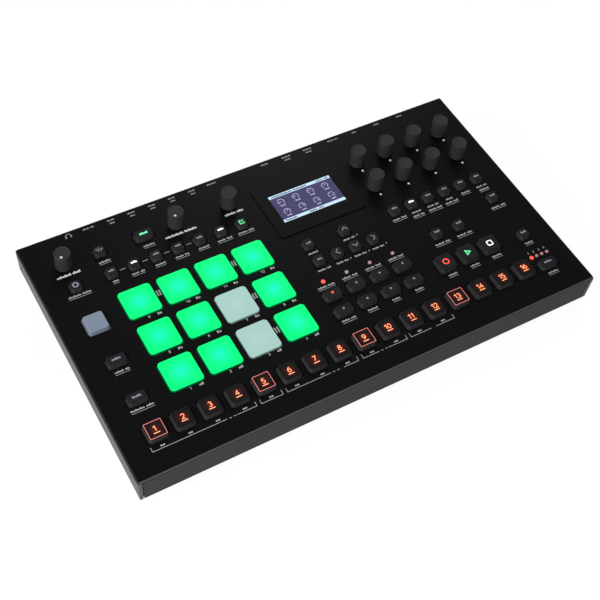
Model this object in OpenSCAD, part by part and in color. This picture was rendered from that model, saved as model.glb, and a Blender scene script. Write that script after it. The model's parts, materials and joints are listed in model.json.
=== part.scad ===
// Desktop drum machine: a wedge-shaped steel case with sixteen step keys, twelve
// drum pads, eleven knobs, a small display and two rows of sockets at the back.
// Millimetres. +X right, +Y to the back, +Z up; the origin is on the table under
// the middle of the overall box. Controls are placed in the sloping panel's own
// plane: x across, v up the slope from the panel's front edge, w square to it.

/* [Case] */
// Width of the top panel
panel_w = 385; // [380:1:400]
// Depth of the top panel, measured up its slope
panel_d = 216.7; // [214:0.1:230]
// Sheet thickness of the top panel
panel_t = 1.5; // [1.4:0.1:2.4]
// Corner radius of the top panel
panel_r = 3; // [1:0.5:8]
// Slope of the top panel above the table, in degrees
slope = 11.5; // [11:0.5:14]
// Height of the front wall with the panel's edge, square to the panel
front_h = 24.4; // [21:0.1:30]
// Sheet thickness of the tray and of the side panels
wall_t = 1.5; // [1:0.1:2]
// How far the walls stand back under the panel's edge
overhang = 0.3; // [0.2:0.1:2]
// Lean of the side panels down to their fold, in degrees
side_lean = 2; // [0:0.5:3]
// Lean of the side panels below their fold, in degrees
under_lean = 14; // [12:0.5:20]
// Shadow gap between the panel and the walls under it
shadow_gap = 0.5; // [0.2:0.1:1]
// Leg of the bevel along the panel's top edges
bevel = 1.2; // [0.4:0.1:1.3]
// Width of the corner post at each front corner
post_w = 3; // [2:0.5:5]
// Seam between a corner post and the front wall
seam = 0.4; // [0.2:0.1:0.8]

/* [Feet and base holes] */
// Height of the rubber feet
foot_h = 4.8; // [4:0.1:8]
// Diameter of the rubber feet
foot_d = 14; // [10:1:20]
// Spacing of the four stand holes, both ways
stand_hole_pitch = 100; // [75:25:100]
// Diameter of the stand holes
stand_hole_d = 4; // [3:0.5:5]
// Diameter of the case screws' shanks
screw_d = 3; // [2.5:0.5:4]
// Diameter of the case screws' heads
screw_head_d = 5.6; // [5:0.1:7]

/* [Step keys] */
// Side of a step key at the panel
key_s = 15.3; // [12:0.1:16]
// Height of a step key above the panel
key_h = 3.6; // [2.5:0.1:5]
// Distance from one step key to the next
key_pitch = 20.725; // [20:0.005:21]
// Middle of the first step key, left of the panel's middle
first_key_x = -165.43; // [-168:0.01:-164]
// Middle of the row of step keys, up the slope
key_v = 30.6; // [26:0.1:34]
// Press travel of a step key
key_travel = 1.0; // [0.4:0.1:1.2]

/* [Drum pads] */
// Side of a drum pad
pad_s = 25.8; // [24:0.1:27]
// Height of a drum pad above the panel
pad_h = 1.3; // [0.8:0.1:2]
// Distance between pads across
pad_pitch_x = 31.06; // [30.5:0.02:32]
// Distance between pads up the slope
pad_pitch_v = 33.58; // [33:0.02:35]
// Middle of the first pad, left of the panel's middle
first_pad_x = -129.65; // [-132:0.05:-128]
// Middle of the first row of pads, up the slope
first_pad_v = 65.4; // [64:0.1:68]
// Press travel of a drum pad
pad_travel = 0.8; // [0.3:0.1:1]

/* [Buttons] */
// Side of a small square button
small_s = 9.2; // [8:0.1:10]
// Width of a wide button
wide_w = 15.3; // [12:0.1:16]
// Side of the large function button
function_s = 16.5; // [14:0.1:18]
// Height of the buttons above the panel
button_h = 3.2; // [2:0.1:4]
// Press travel of the buttons
button_travel = 0.6; // [0.3:0.1:1]

/* [Knobs] */
// Diameter of a knob at its top
knob_d = 12.4; // [12:0.1:14]
// Diameter of a knob at its foot
knob_foot_d = 13; // [12:0.1:15]
// Height of a knob's top above the panel
knob_h = 15.15; // [12:0.05:18]
// Diameter of a knob's shaft
shaft_d = 6; // [4:0.5:6]
// Diameter of the threaded bushing around a knob's shaft
bushing_d = 7; // [7:0.1:7.6]
// Distance between data knobs across
data_pitch_x = 26.7; // [26:0.05:28]
// Distance between the two rows of data knobs
data_pitch_v = 28; // [27:0.1:30]

/* [Display] */
// Width of the raised display frame
frame_w = 76.8; // [74:0.2:80]
// Depth of the raised display frame
frame_d = 53.6; // [50:0.1:56]
// Height of the display frame above the panel
frame_h = 0.8; // [0.4:0.1:1.5]
// Width of the lit screen
screen_w = 55.7; // [50:0.1:60]
// Depth of the lit screen
screen_d = 28; // [24:0.2:32]

/* [Back sockets] */
// Distance between neighbouring phone jacks
jack_pitch = 17.34; // [17:0.01:18]
// Bore of a phone jack
jack_bore_d = 6.5; // [6.35:0.05:6.8]
// Depth of the lower row of jacks below the panel
jack_low = 46; // [44:0.5:50]
// Height of the upper row above the lower row
jack_rise = 22; // [20:0.5:24]
// How far a jack's collar stands out of the back wall
jack_out = 3.5; // [3:0.5:6]
// Diameter of a MIDI socket's round face
din_d = 15.6; // [15:0.1:16.5]
// Diameter of the power button
power_d = 8; // [6:0.5:10]
// How far the power button stands out of the back wall
power_out = 4; // [2:0.5:5]
// Press travel of the power button
power_travel = 1.2; // [0.8:0.1:1.8]

/* [Fit] */
// Gap between a button, key or pad and the edge of its hole
side_gap = 0.8; // [0.5:0.05:1]
// Gap between a button's flange and the panel, and other rests
rest_gap = 0.3; // [0.2:0.05:0.4]
// Radial running clearance of a knob's shaft
run_gap = 0.08; // [0.05:0.01:0.1]
// Clearance of sockets, screws and lamps in their holes
fit_gap = 0.2; // [0.1:0.05:0.3]

/* [Hidden] */
$fn = 48;
eps = 0.01;

key_count = 16;
pad_cols = 4;
pad_rows = 3;
data_cols = 4;

// ---- The case. A depth is measured down from the panel's top face, square to it.
jack_collar_d = 10;
back_v = panel_d - overhang;
skirt_top = panel_t + shadow_gap;
sheet_w = wall_t / cos(under_lean);
floor_z = foot_h + wall_t;

// Distance of the base plane behind the panel's front edge, below a place up the slope
function base_y(v) = front_h * sin(slope) + v / cos(slope);
function base_depth(v) = front_h + v * tan(slope);
// Half width to the outside and to the inside of the side panels, folded at the depth
// of the front wall's lower edge
function side_x(depth) = panel_w / 2 - overhang
    - (min(depth, front_h) - skirt_top) * tan(side_lean)
    - max(depth - front_h, 0) * tan(under_lean);
function inner_x(depth) = side_x(depth) - sheet_w - seam / 2;

// The collars or the base's back edge, whichever reaches further, ends the overall box
collar_y = (back_v + jack_out) * cos(slope) + (jack_low + jack_collar_d / 2) * sin(slope);
front_y = -(max(base_y(back_v), collar_y) + bevel * sin(slope)) / 2;
front_z = foot_h + front_h * cos(slope);
panel_run = panel_d * cos(slope);
panel_top_z = front_z + panel_d * sin(slope);
wall_low = base_depth(back_v) + 1;
corner_d = 3;

// Posts that hold the panel to the base, by their distance behind the front edge
post_d = 7;
post_screw_l = 9;
case_screw_short = 3;
case_screw_head_t = 2;
post_front = 13;
post_back = 10.9;
post_side_gap = 0.8;
post_rows = [post_front, (post_front + panel_run - post_back) / 2, panel_run - post_back];
function post_at(y) = [inner_x(base_depth((y - front_h * sin(slope)) * cos(slope)))
    - post_d / 2 - post_side_gap, y];
post_spots = [for (s = [-1, 1]) for (y = post_rows) [s * post_at(y)[0], front_y + y]];
foot_side = 32.5;
foot_front = 22;
foot_back = 20.4;
foot_spots = [for (s = [-1, 1]) for (y = [foot_front, panel_run - foot_back])
    [s * (panel_w / 2 - foot_side), front_y + y]];
stand_spots = [for (x = [-0.5, 0.5]) for (y = [-0.5, 0.5])
    [x * stand_hole_pitch, y * stand_hole_pitch]];
stand_nut_d = stand_hole_d + 4;
stand_nut_t = 2.5;

// ---- Under the panel: flanges, then switches on the board below them
flange_t = 1;
flange_hold = 0.7;
flange_lip = side_gap + flange_hold;
flange_w = -panel_t - rest_gap - flange_t;
board_t = 1.6;
board_w = -panel_t - 6;
board_x = panel_w / 2 - 17;
stud_d = 4.5;
nut_d = 9.6;
nut_t = 2;
can_s = 12;
knob_hollow_h = 7;
shaft_end_w = board_w + 1.5;
key_r = 2;
pad_r = 3;
button_r = 1.8;
cap_soft = 0.5;
cap_draft = 0.8;
pad_soft = 0.3;
pad_draft = 0.1;
key_switch_s = 6;
pad_switch_s = 20;
button_switch_s = 5;

// ---- Places of the controls in the panel's plane. They are written for a standard panel,
// given by its width, key row and top row, and then spread with the real width and rows.
standard = [385, 30.6, 187.2];
key_row = standard[1];
top_row = standard[2];
top_margin = 29.5;
top_v = panel_d - top_margin;
columns = panel_w / standard[0];
rows = (top_v - key_v) / (top_row - key_row);
function spread(spots) = [for (s = spots) [s[0] * columns, key_v + (s[1] - key_row) * rows]];
board_v = [13, top_v + 10.8];

left_x = first_key_x - 0.3;
function key_x(i) = first_key_x + i * key_pitch;
right_x = key_x(key_count - 1) + 20.6;
mode_x = -137.3;
mode_row = 164.9;
mode_pitch = 18.06;
bank_row = 75.3;
bank_rise = 16.15;
bank_h = 9.2;
nav_x = 7.4;
nav_row = 107.4;
nav_pitch = 16.12;
nav_rise = 17.1;
param_x = 86.45;
data_x = 86.45;
data_row = 153.8;
lamp_row = 89.2;
lamp_d = 3;
page_lamp_pitch = 4.93;
page_lamp_d = 2.6;
screen_rim = 2;

key_spots = spread([for (i = [0:key_count - 1]) [key_x(i), key_row]]);
pad_spots = spread([for (r = [0:pad_rows - 1]) for (c = [0:pad_cols - 1])
    [first_pad_x + c * pad_pitch_x, first_pad_v + r * pad_pitch_v]]);
small_spots = spread(concat(
    [[left_x, mode_row], [mode_x, top_row]],
    [for (i = [0:6]) [mode_x + i * mode_pitch, mode_row]],
    [for (i = [0:5]) [param_x + i * (right_x - param_x) / 5, nav_row + nav_rise]],
    [[right_x, nav_row - 5.8], [right_x, bank_row - bank_rise]],
    [for (i = [13, 14]) [key_x(i), lamp_row + 0.4]]));
navigation_spots = spread(concat(
    [for (i = [0:3]) [nav_x + i * nav_pitch, nav_row]],
    [for (i = [0, 2]) [nav_x + i * nav_pitch, nav_row + nav_rise]]));
wide_spots = spread(concat(
    [for (i = [0:7]) [key_x(8 + i % 4), bank_row - bank_rise * floor(i / 4)]],
    [[left_x, bank_row + 17.8], [left_x, bank_row - bank_rise],
     [mode_x + 2 * mode_pitch, top_row], [right_x, key_row - 3.5]]));
transport_spots = spread([for (i = [0:2]) [key_x(12.5 + i), bank_row - 13]]);
function_spots = spread([[left_x, 128.8]]);
knob_spots = spread(concat([[left_x, top_row], [-74.1, top_row], [-28.6, top_row]],
    [for (i = [0:7]) [data_x + (i % data_cols) * data_pitch_x,
                      data_row + (1 - floor(i / data_cols)) * data_pitch_v]]));
bank_lamp_spots = spread([for (i = [0:3]) [key_x(8 + i), lamp_row]]);
page_lamp_spots = spread([for (i = [0:3])
    [right_x + (i - 1.5) * page_lamp_pitch, key_row + 6.6]]);
frame_at = spread([[30.9, 165.2]])[0];
screen_at = spread([[30.2, 165.6]])[0];
// Studs that carry the control board, in the free places between the controls
stud_spots = spread([[-171.5, 46], [-171.5, 111.5], [-11, 46], [-11, 145.5], [73.3, 46],
    [73.3, 111.5], [149, 79], [-151.7, 192], [-8, 191], [75.7, 192], [153.2, 192]]);

// ---- Back sockets: x, and depth below the panel
mid_depth = jack_low - jack_rise / 2;
jack_x = -152.6 * columns;
pedal_x = 81.2 * columns;
midi_x = [for (x = [17, 36.9, 56.8]) x * columns];
usb_x = 102.1 * columns;
dc_x = 124 * columns;
power_x = 146.9 * columns;
jack_spots = concat([[jack_x, jack_low]],
    [for (x = concat([for (i = [1:7]) jack_x + i * jack_pitch * columns], [pedal_x]))
        for (r = [0, 1]) [x, jack_low - r * jack_rise]]);
jack_nut_d = 14;
jack_nut_t = 2.5;
jack_body = [15, 13, 26.5];
jack_bore_l = 27;
din_body = [17.6, 27, 14];
din_screw_rise = 11;
din_screw_l = 6;
din_screw_head_t = 1.8;
din_ring = [12.2, 13.8];
din_pin_circle = 7;
usb_body = [12, 10.8, 15];
usb_mouth = [8.6, 7.8, 9];
usb_tongue = [5.6, 3.2];
dc_body = [10, 11, 13];
dc_hole_d = 6.4;
dc_pin_d = 2;
socket_proud = 0.5;
power_flange_t = 1.5;
power_lip = 1.2;
power_gap = 0.3;
// The jack board stands behind the jacks, and every other socket reaches back to it
jack_board_v = -wall_t - jack_body[2];
jack_board_edge = 9;

// ---- Main board on the floor, and the flat cable from it to the control board
main_margin = [149, 98.7];
main_size = [panel_w - main_margin[0], panel_d - main_margin[1], 1.6];
main_y = front_y + 66;
standoff_h = 5;
standoff_d = 6;
standoff_inset = 6;
standoff_spots = [for (x = [-1, 0, 1]) for (y = [standoff_inset, main_size[1] - standoff_inset])
    [x * (main_size[0] / 2 - standoff_inset), main_y + y]];
main_top = floor_z + standoff_h + main_size[2];
// Processor, memory, converter and supply packages: x, y, side, height
packages = [[-60, 76, 24, 2.2], [0, 80, 18, 1.8], [52, 76, 20, 2], [76, 40, 16, 6]];
cable_w = 40;
cable_t = 1;
cable_y = main_y + standoff_inset + 18;
cable_bend = 7;
cable_bend_h = 20;
cable_plug = [cable_w + 4, 5, 4];

// ---------------------------------------------------------------- helpers

// Puts children, drawn in the panel's plane, into the part's frame
module on_panel() translate([0, front_y, front_z]) rotate([slope, 0, 0]) children();

// Puts children on the back wall: +Z out of its outer face, +Y down it
module on_back(x, depth) on_panel() translate([x, back_v, -depth]) rotate([-90, 0, 0]) children();

module at_spots(spots) for (s = spots) translate([s[0], s[1], 0]) children();

// A rectangle with round corners, made of true arcs
module round_rect(w, d, r) {
    square([w - 2 * r, d], center = true);
    square([w, d - 2 * r], center = true);
    for (x = [-1, 1]) for (y = [-1, 1])
        translate([x * (w / 2 - r), y * (d / 2 - r)]) circle(r);
}

// Side view of a cap: straight in its hole, then a slight draft and a soft top edge
module cap_side(w, top, soft, draft) {
    a = w / 2;
    b = a - draft;
    low = -panel_t - rest_gap;
    polygon([[-a, low], [a, low], [a, 0], [b, top - soft], [b - 0.3 * soft, top - 0.3 * soft],
        [b - soft, top], [soft - b, top], [0.3 * soft - b, top - 0.3 * soft], [-b, top - soft], [-a, 0]]);
}

// A button, key or pad: its cap, and the flange that holds it under the panel
module button(w, d, r, top, soft = cap_soft, draft = cap_draft) {
    intersection() {
        rotate([90, 0, 0]) linear_extrude(d + 1, center = true) cap_side(w, top, soft, draft);
        rotate([90, 0, 90]) linear_extrude(w + 1, center = true) cap_side(d, top, soft, draft);
        translate([0, 0, flange_w]) linear_extrude(top - flange_w) round_rect(w, d, r);
    }
    translate([0, 0, flange_w + flange_t / 2])
        cube([w + 2 * flange_lip, d + 2 * flange_lip, flange_t], center = true);
}

// The board's switch under a button: the button stops a rest gap above it
module switch_block(travel, s) translate([-s / 2, -s / 2, board_w - eps])
    cube([s, s, flange_w - travel - rest_gap - board_w + eps]);

// Trimming blocks, wider than the case: all below the base, all above a depth under the
// panel's top, and all behind the back wall's inner face
module trim_block() cube([2 * panel_w, 2 * panel_w, panel_w]);
module below_base() translate([-panel_w, -panel_w, foot_h - panel_w]) trim_block();
module above_depth(depth) on_panel() translate([-panel_w, -panel_w, -depth]) trim_block();
module behind_wall() on_panel() translate([-panel_w, back_v - wall_t, -panel_w]) trim_block();

// ---------------------------------------------------------------- case

module panel_holes() {
    g = 2 * side_gap;
    at_spots(concat(key_spots, transport_spots))
        round_rect(key_s + g, key_s + g, key_r + side_gap);
    at_spots(pad_spots) round_rect(pad_s + g, pad_s + g, pad_r + side_gap);
    at_spots(concat(small_spots, navigation_spots))
        round_rect(small_s + g, small_s + g, button_r + side_gap);
    at_spots(wide_spots) round_rect(wide_w + g, bank_h + g, button_r + side_gap);
    at_spots(function_spots) round_rect(function_s + g, function_s + g, key_r + side_gap);
    at_spots(knob_spots) circle(d = bushing_d + 2 * fit_gap);
    at_spots(bank_lamp_spots) circle(d = lamp_d + 2 * fit_gap);
    at_spots(page_lamp_spots) circle(d = page_lamp_d + 2 * fit_gap);
    translate(screen_at)
        square([screen_w + screen_rim + 2 * rest_gap, screen_d + screen_rim + 2 * rest_gap],
            center = true);
}

module panel_sheet() difference() {
    translate([0, 0, -panel_t]) linear_extrude(panel_t) difference() {
        translate([0, panel_d / 2]) round_rect(panel_w, panel_d, panel_r);
        panel_holes();
    }
    // Fine bevel along the four top edges
    leg = bevel * sqrt(2);
    for (x = [-1, 1]) translate([x * panel_w / 2, panel_d / 2, 0])
        rotate([0, 45, 0]) cube([leg, panel_d + 10, leg], center = true);
    for (v = [0, panel_d]) translate([0, v, 0])
        rotate([45, 0, 0]) cube([panel_w + 10, leg, leg], center = true);
}

module top_panel() color("#26262a") difference() {
    union() {
        on_panel() {
            panel_sheet();
            at_spots(stud_spots) translate([0, 0, board_w])
                cylinder(d = stud_d, h = -board_w - panel_t + eps);
        }
        // Posts down to the base
        difference() {
            at_spots(post_spots) translate([0, 0, floor_z])
                cylinder(d = post_d, h = panel_top_z - floor_z);
            above_depth(panel_t - eps);
        }
    }
    at_spots(post_spots) translate([0, 0, floor_z - 1])
        cylinder(d = screw_d + 2 * fit_gap, h = post_screw_l);
}

// A wall that fills the space between the side panels, drawn in x and depth
module cross_wall(gap) {
    depths = [skirt_top, front_h, wall_low];
    right = [for (d = depths) [inner_x(d) - gap, -d]];
    left = [for (i = [2:-1:0]) [gap - inner_x(depths[i]), -depths[i]]];
    polygon(concat(right, left));
}

// Stands a shape drawn in x and depth up in the case, from one place up the slope to another
module along_panel(from, to) on_panel() translate([0, to, 0]) rotate([90, 0, 0])
    linear_extrude(to - from) children();

module wall_hole(d) translate([0, 0, -wall_t - 1]) cylinder(d = d + 2 * fit_gap, h = wall_t + 2);
module wall_slot(s) translate([0, 0, -wall_t / 2])
    cube([s[0] + 2 * fit_gap, s[1] + 2 * fit_gap, wall_t + 2], center = true);

module back_panel() color("#3a3634") difference() {
    along_panel(back_v - wall_t, back_v) cross_wall(0);
    below_base();
    for (j = jack_spots) on_back(j[0], j[1]) wall_hole(jack_collar_d);
    for (x = midi_x) on_back(x, mid_depth) {
        wall_hole(din_d);
        for (s = [-1, 1]) translate([0, s * din_screw_rise, 0]) wall_hole(screw_d);
    }
    on_back(usb_x, mid_depth) wall_slot(usb_body);
    on_back(dc_x, mid_depth) wall_slot(dc_body);
    on_back(power_x, mid_depth) wall_hole(power_d + 2 * (power_gap - fit_gap));
}

// The floor stands back round the corner posts, and ends at the back wall's inner face
module floor_plate() {
    v = [overhang, overhang + corner_d + seam, back_v];
    x = [for (a = v) inner_x(base_depth(a))];
    between = x[0] - post_w + wall_t;
    right = [[between, base_y(v[0])], [between, base_y(v[1])], [x[1], base_y(v[1])],
        [x[2], base_y(v[2])]];
    left = [for (i = [3:-1:0]) [-right[i][0], right[i][1]]];
    translate([0, front_y, foot_h]) linear_extrude(wall_t) polygon(concat(right, left));
}

module chassis_tray() color("#3a3634") difference() {
    union() {
        along_panel(overhang, overhang + wall_t) cross_wall(post_w - wall_t);
        floor_plate();
        at_spots(standoff_spots) translate([0, 0, floor_z - eps])
            cylinder(d = standoff_d, h = standoff_h + eps);
        // Pressed-in nuts of the stand holes
        at_spots(stand_spots) translate([0, 0, floor_z - eps])
            cylinder(d = stand_nut_d, h = stand_nut_t);
    }
    below_base();
    behind_wall();
    at_spots(stand_spots) translate([0, 0, foot_h - 1])
        cylinder(d = stand_hole_d, h = wall_t + stand_nut_t + 2);
    at_spots(post_spots) translate([0, 0, foot_h - 1])
        cylinder(d = screw_d + 2 * fit_gap, h = wall_t + 2);
}

// Section of a side panel or of its corner post, w wide, drawn in x and depth
module folded_sheet(w) {
    depths = [skirt_top, front_h, wall_low];
    outside = [for (d = depths) [side_x(d), -d]];
    inside = [for (i = [2:-1:0]) [side_x(depths[i]) - w, -depths[i]]];
    polygon(concat(outside, inside));
}

// One side: a sheet with a fold, and the corner post at its front edge
module side_panel() difference() {
    union() {
        along_panel(overhang, back_v) folded_sheet(sheet_w);
        along_panel(overhang, overhang + corner_d) folded_sheet(post_w - seam);
    }
    below_base();
}

module side_panels() color("#3a3634") for (s = [0, 1]) mirror([s, 0, 0]) side_panel();

module rubber_feet() color("#1a1a1a") at_spots(foot_spots) cylinder(d = foot_d, h = foot_h);

module screw(head_t, l) {
    translate([0, 0, -head_t]) cylinder(d = screw_head_d, h = head_t);
    translate([0, 0, -head_t]) cylinder(d = screw_d, h = l + head_t);
}

module case_screws() color("#4a4a4c") {
    at_spots(post_spots) translate([0, 0, foot_h])
        screw(case_screw_head_t, wall_t + post_screw_l - case_screw_short);
    for (x = midi_x) for (s = [-1, 1]) on_back(x, mid_depth)
        translate([0, s * din_screw_rise, 0]) mirror([0, 0, 1])
            screw(din_screw_head_t, din_screw_l);
}

// ---------------------------------------------------------------- display and boards

module display_frame() color("#1f1f23") on_panel() linear_extrude(frame_h) difference() {
    translate(frame_at) round_rect(frame_w, frame_d, 2.5);
    translate(screen_at) square([screen_w + screen_rim + 2 * fit_gap,
        screen_d + screen_rim + 2 * fit_gap], center = true);
}

module display_module() color("#0d1030") on_panel() translate([screen_at[0], screen_at[1], 0]) {
    glass = [screen_w + screen_rim, screen_d + screen_rim];
    translate([-glass[0] / 2, -glass[1] / 2, -panel_t - rest_gap - eps])
        cube([glass[0], glass[1], panel_t + rest_gap + eps + frame_h - 0.3]);
    translate([-glass[0] / 2 - 1, -glass[1] / 2 - 1, board_w])
        cube([glass[0] + 2, glass[1] + 2, -board_w - panel_t - rest_gap]);
}

// The board under the panel, with a switch under each button, key and pad
module control_board() on_panel() {
    translate([-board_x, board_v[0], board_w - board_t])
        cube([2 * board_x, board_v[1] - board_v[0], board_t]);
    at_spots(concat(key_spots, transport_spots, function_spots))
        switch_block(key_travel, key_switch_s);
    at_spots(pad_spots) switch_block(pad_travel, pad_switch_s);
    at_spots(concat(small_spots, navigation_spots, wide_spots))
        switch_block(button_travel, button_switch_s);
}

// Flat cable: a strip that bends once on its way up, and ends just under the control board
module flat_cable() {
    z0 = main_top + cable_plug[2] / 2;
    step = (panel_top_z - z0) / 12;
    function bend(z) = cable_bend * (1 - cos(180 * min(1, (z - z0) / cable_bend_h))) / 2;
    up = [for (i = [0:12]) let (z = z0 + i * step) [cable_y + bend(z), z]];
    down = [for (i = [12:-1:0]) [up[i][0] + cable_t, up[i][1]]];
    difference() {
        union() {
            translate([-cable_w / 2, 0, 0]) rotate([90, 0, 90]) linear_extrude(cable_w)
                polygon(concat(down, up));
            translate([-cable_plug[0] / 2, cable_y - cable_plug[1] / 2, main_top - eps])
                cube(cable_plug);
        }
        above_depth(board_t - board_w + rest_gap);
    }
}

module jack_board() on_back(0, 0) {
    translate([jack_x - jack_board_edge, jack_low - jack_rise - jack_board_edge,
        jack_board_v - board_t])
        cube([power_x - jack_x + 2 * jack_board_edge, jack_rise + 2 * jack_board_edge, board_t]);
    // Switch behind the power button
    translate([power_x - power_d / 2, mid_depth - power_d / 2, jack_board_v - eps])
        cube([power_d, power_d, jack_body[2] - power_flange_t - 2 * rest_gap - power_travel + eps]);
}

module circuit_boards() color("#1d4d2b") {
    translate([-main_size[0] / 2, main_y, floor_z + standoff_h]) cube(main_size);
    for (b = packages)
        translate([b[0] - b[2] / 2, main_y + b[1] - b[2] / 2, main_top - eps])
            cube([b[2], b[2], b[3]]);
    flat_cable();
    control_board();
    jack_board();
}

// Rotary control: a can on the board, a threaded bushing and its nut
module encoder_body() difference() {
    union() {
        translate([-can_s / 2, -can_s / 2, board_w])
            cube([can_s, can_s, -board_w - panel_t - rest_gap]);
        translate([0, 0, board_w + 1]) cylinder(d = bushing_d, h = knob_hollow_h - 1 - board_w - 1);
        cylinder(d = nut_d, h = nut_t, $fn = 6);
    }
    translate([0, 0, shaft_end_w - 0.5]) cylinder(d = shaft_d + 2 * run_gap, h = 30);
}

module encoder_bodies() color("#8a8a8c") on_panel() at_spots(knob_spots) encoder_body();

// Lamp: a foot on the board and a lens that shows through the panel
module lamp(d) rotate_extrude() polygon([[0, board_w], [d / 2 + 0.5, board_w],
    [d / 2 + 0.5, board_w + 3], [d / 2, board_w + 3], [d / 2, 0.3], [d / 2 - 0.35, 0.75], [0, 0.95]]);

module status_lamps() color("#c9a9a9") on_panel() {
    at_spots(bank_lamp_spots) lamp(lamp_d);
    at_spots(page_lamp_spots) lamp(page_lamp_d);
}

// ---------------------------------------------------------------- back sockets

// A socket's body behind the wall, and its narrower rear block down to the jack board
module socket_body(s) {
    translate([-s[0] / 2, -s[1] / 2, -wall_t - s[2]]) cube(s);
    translate([-s[0] / 2 + 1, -s[1] / 2 + 2, jack_board_v])
        cube([s[0] - 2, s[1] - 4, jack_body[2] - s[2] + eps]);
}

module phone_jack() difference() {
    union() {
        translate([-jack_body[0] / 2, -jack_body[1] / 2, jack_board_v]) cube(jack_body);
        translate([0, 0, -wall_t - eps]) cylinder(d = jack_collar_d, h = jack_out + wall_t + eps);
        cylinder(d = jack_nut_d, h = jack_nut_t, $fn = 6);
    }
    translate([0, 0, jack_out - jack_bore_l]) cylinder(d = jack_bore_d, h = jack_bore_l + 1);
}

module phone_jacks() color("#161618") for (j = jack_spots) on_back(j[0], j[1]) phone_jack();

module midi_socket() difference() {
    union() {
        socket_body(din_body);
        translate([0, 0, -wall_t - eps]) cylinder(d = din_d, h = wall_t + socket_proud + eps);
    }
    // Ring slot for the plug's shell, five contact holes, and the two screw holes
    translate([0, 0, -8]) difference() {
        cylinder(d = din_ring[1], h = 10);
        translate([0, 0, -1]) cylinder(d = din_ring[0], h = 12);
    }
    for (a = [-90, -45, 0, 45, 90]) rotate([0, 0, a]) translate([0, din_pin_circle / 2, -8])
        cylinder(d = 1.6, h = 10, $fn = 16);
    for (s = [-1, 1]) translate([0, s * din_screw_rise, -wall_t - 6])
        cylinder(d = screw_d + 2 * fit_gap, h = 10);
}

module midi_sockets() color("#161618") for (x = midi_x) on_back(x, mid_depth) midi_socket();

module usb_socket() color("#b5b5b8") on_back(usb_x, mid_depth) difference() {
    union() {
        socket_body(usb_body);
        translate([-usb_body[0] / 2, -usb_body[1] / 2, -wall_t - eps])
            cube([usb_body[0], usb_body[1], wall_t + socket_proud + eps]);
    }
    difference() {
        translate([-usb_mouth[0] / 2, -usb_mouth[1] / 2, -usb_mouth[2]])
            cube([usb_mouth[0], usb_mouth[1], usb_mouth[2] + 2]);
        translate([-usb_tongue[0] / 2, -usb_tongue[1] / 2, -usb_mouth[2] - 1])
            cube([usb_tongue[0], usb_tongue[1], usb_mouth[2]]);
    }
}

module dc_inlet() color("#161618") on_back(dc_x, mid_depth) difference() {
    union() {
        socket_body(dc_body);
        translate([-dc_body[0] / 2, -dc_body[1] / 2, -wall_t - eps])
            cube([dc_body[0], dc_body[1], wall_t + socket_proud + eps]);
    }
    difference() {
        translate([0, 0, -9]) cylinder(d = dc_hole_d, h = 12);
        translate([0, 0, -10]) cylinder(d = dc_pin_d, h = 9);
    }
}

module power_button() color("#1c1c1e") on_back(power_x, mid_depth) {
    translate([0, 0, -wall_t - rest_gap - 1])
        cylinder(d = power_d, h = wall_t + rest_gap + 1 + power_out);
    translate([0, 0, -wall_t - rest_gap - power_flange_t])
        cylinder(d = power_d + 2 * power_lip, h = power_flange_t);
}

// ---------------------------------------------------------------- buttons, keys and pads

module function_button() color("#b9bfcb") on_panel() at_spots(function_spots)
    button(function_s, function_s, key_r, button_h);
module small_buttons() color("#1f2024") on_panel() at_spots(small_spots)
    button(small_s, small_s, button_r, button_h);
module navigation_buttons() color("#1f2024") on_panel() at_spots(navigation_spots)
    button(small_s, small_s, button_r, button_h);
module wide_buttons() color("#242529") on_panel() at_spots(wide_spots)
    button(wide_w, bank_h, button_r, button_h);
module transport_buttons() color("#242529") on_panel() at_spots(transport_spots)
    button(key_s, key_s, key_r, key_h);

module drum_pad(n) color(n == 3 || n == 7 ? "#b9c8c0" : "#10e070") on_panel()
    at_spots([pad_spots[n - 1]]) button(pad_s, pad_s, pad_r, pad_h, pad_soft, pad_draft);

module step_key(n) color("#1d1d20") on_panel() at_spots([key_spots[n - 1]])
    button(key_s, key_s, key_r, key_h);

// A knob and its shaft in one: a barrel with a soft rim and a dished top, hollow over
// the bushing and its nut, on a shaft that turns in the bushing
module knob(spot) color("#34373a") on_panel() translate([spot[0], spot[1], 0]) {
    r = knob_d / 2;
    hollow_r = nut_d / 2 + rest_gap;
    rotate_extrude() polygon([
        [0, knob_h - 0.35], [r - 1.3, knob_h - 0.35], [r - 0.9, knob_h], [r - 0.45, knob_h],
        [r, knob_h - 0.5], [r, 2.5], [knob_foot_d / 2, 1.2], [knob_foot_d / 2, rest_gap],
        [hollow_r, rest_gap], [hollow_r, knob_hollow_h], [shaft_d / 2, knob_hollow_h],
        [shaft_d / 2, shaft_end_w], [0, shaft_end_w]]);
}

top_panel();
chassis_tray();
side_panels();
rubber_feet();
case_screws();
display_frame();
display_module();
back_panel();
circuit_boards();
encoder_bodies();
status_lamps();
phone_jacks();
midi_sockets();
usb_socket();
dc_inlet();
power_button();
function_button();
small_buttons();
navigation_buttons();
wide_buttons();
transport_buttons();
knob(knob_spots[0]);  // volume_knob
knob(knob_spots[1]);  // performance_knob
knob(knob_spots[2]);  // level_knob
for (n = [1:8]) knob(knob_spots[n + 2]);
for (n = [1:12]) drum_pad(n);
for (n = [1:16]) step_key(n);
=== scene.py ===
# %% [markdown]
# # Dressing a drum machine
# The solids of this desktop drum machine come finished from its CAD part: case, keys, pads,
# knobs and sockets, all in one frame and in metres. This lesson loads them and gives every
# piece its real surface: fine powder coat, satin keycaps, silicone pads lit from below,
# printed ink and a small glowing screen.
# The frame comes first, because every later piece takes its place from it.

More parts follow.
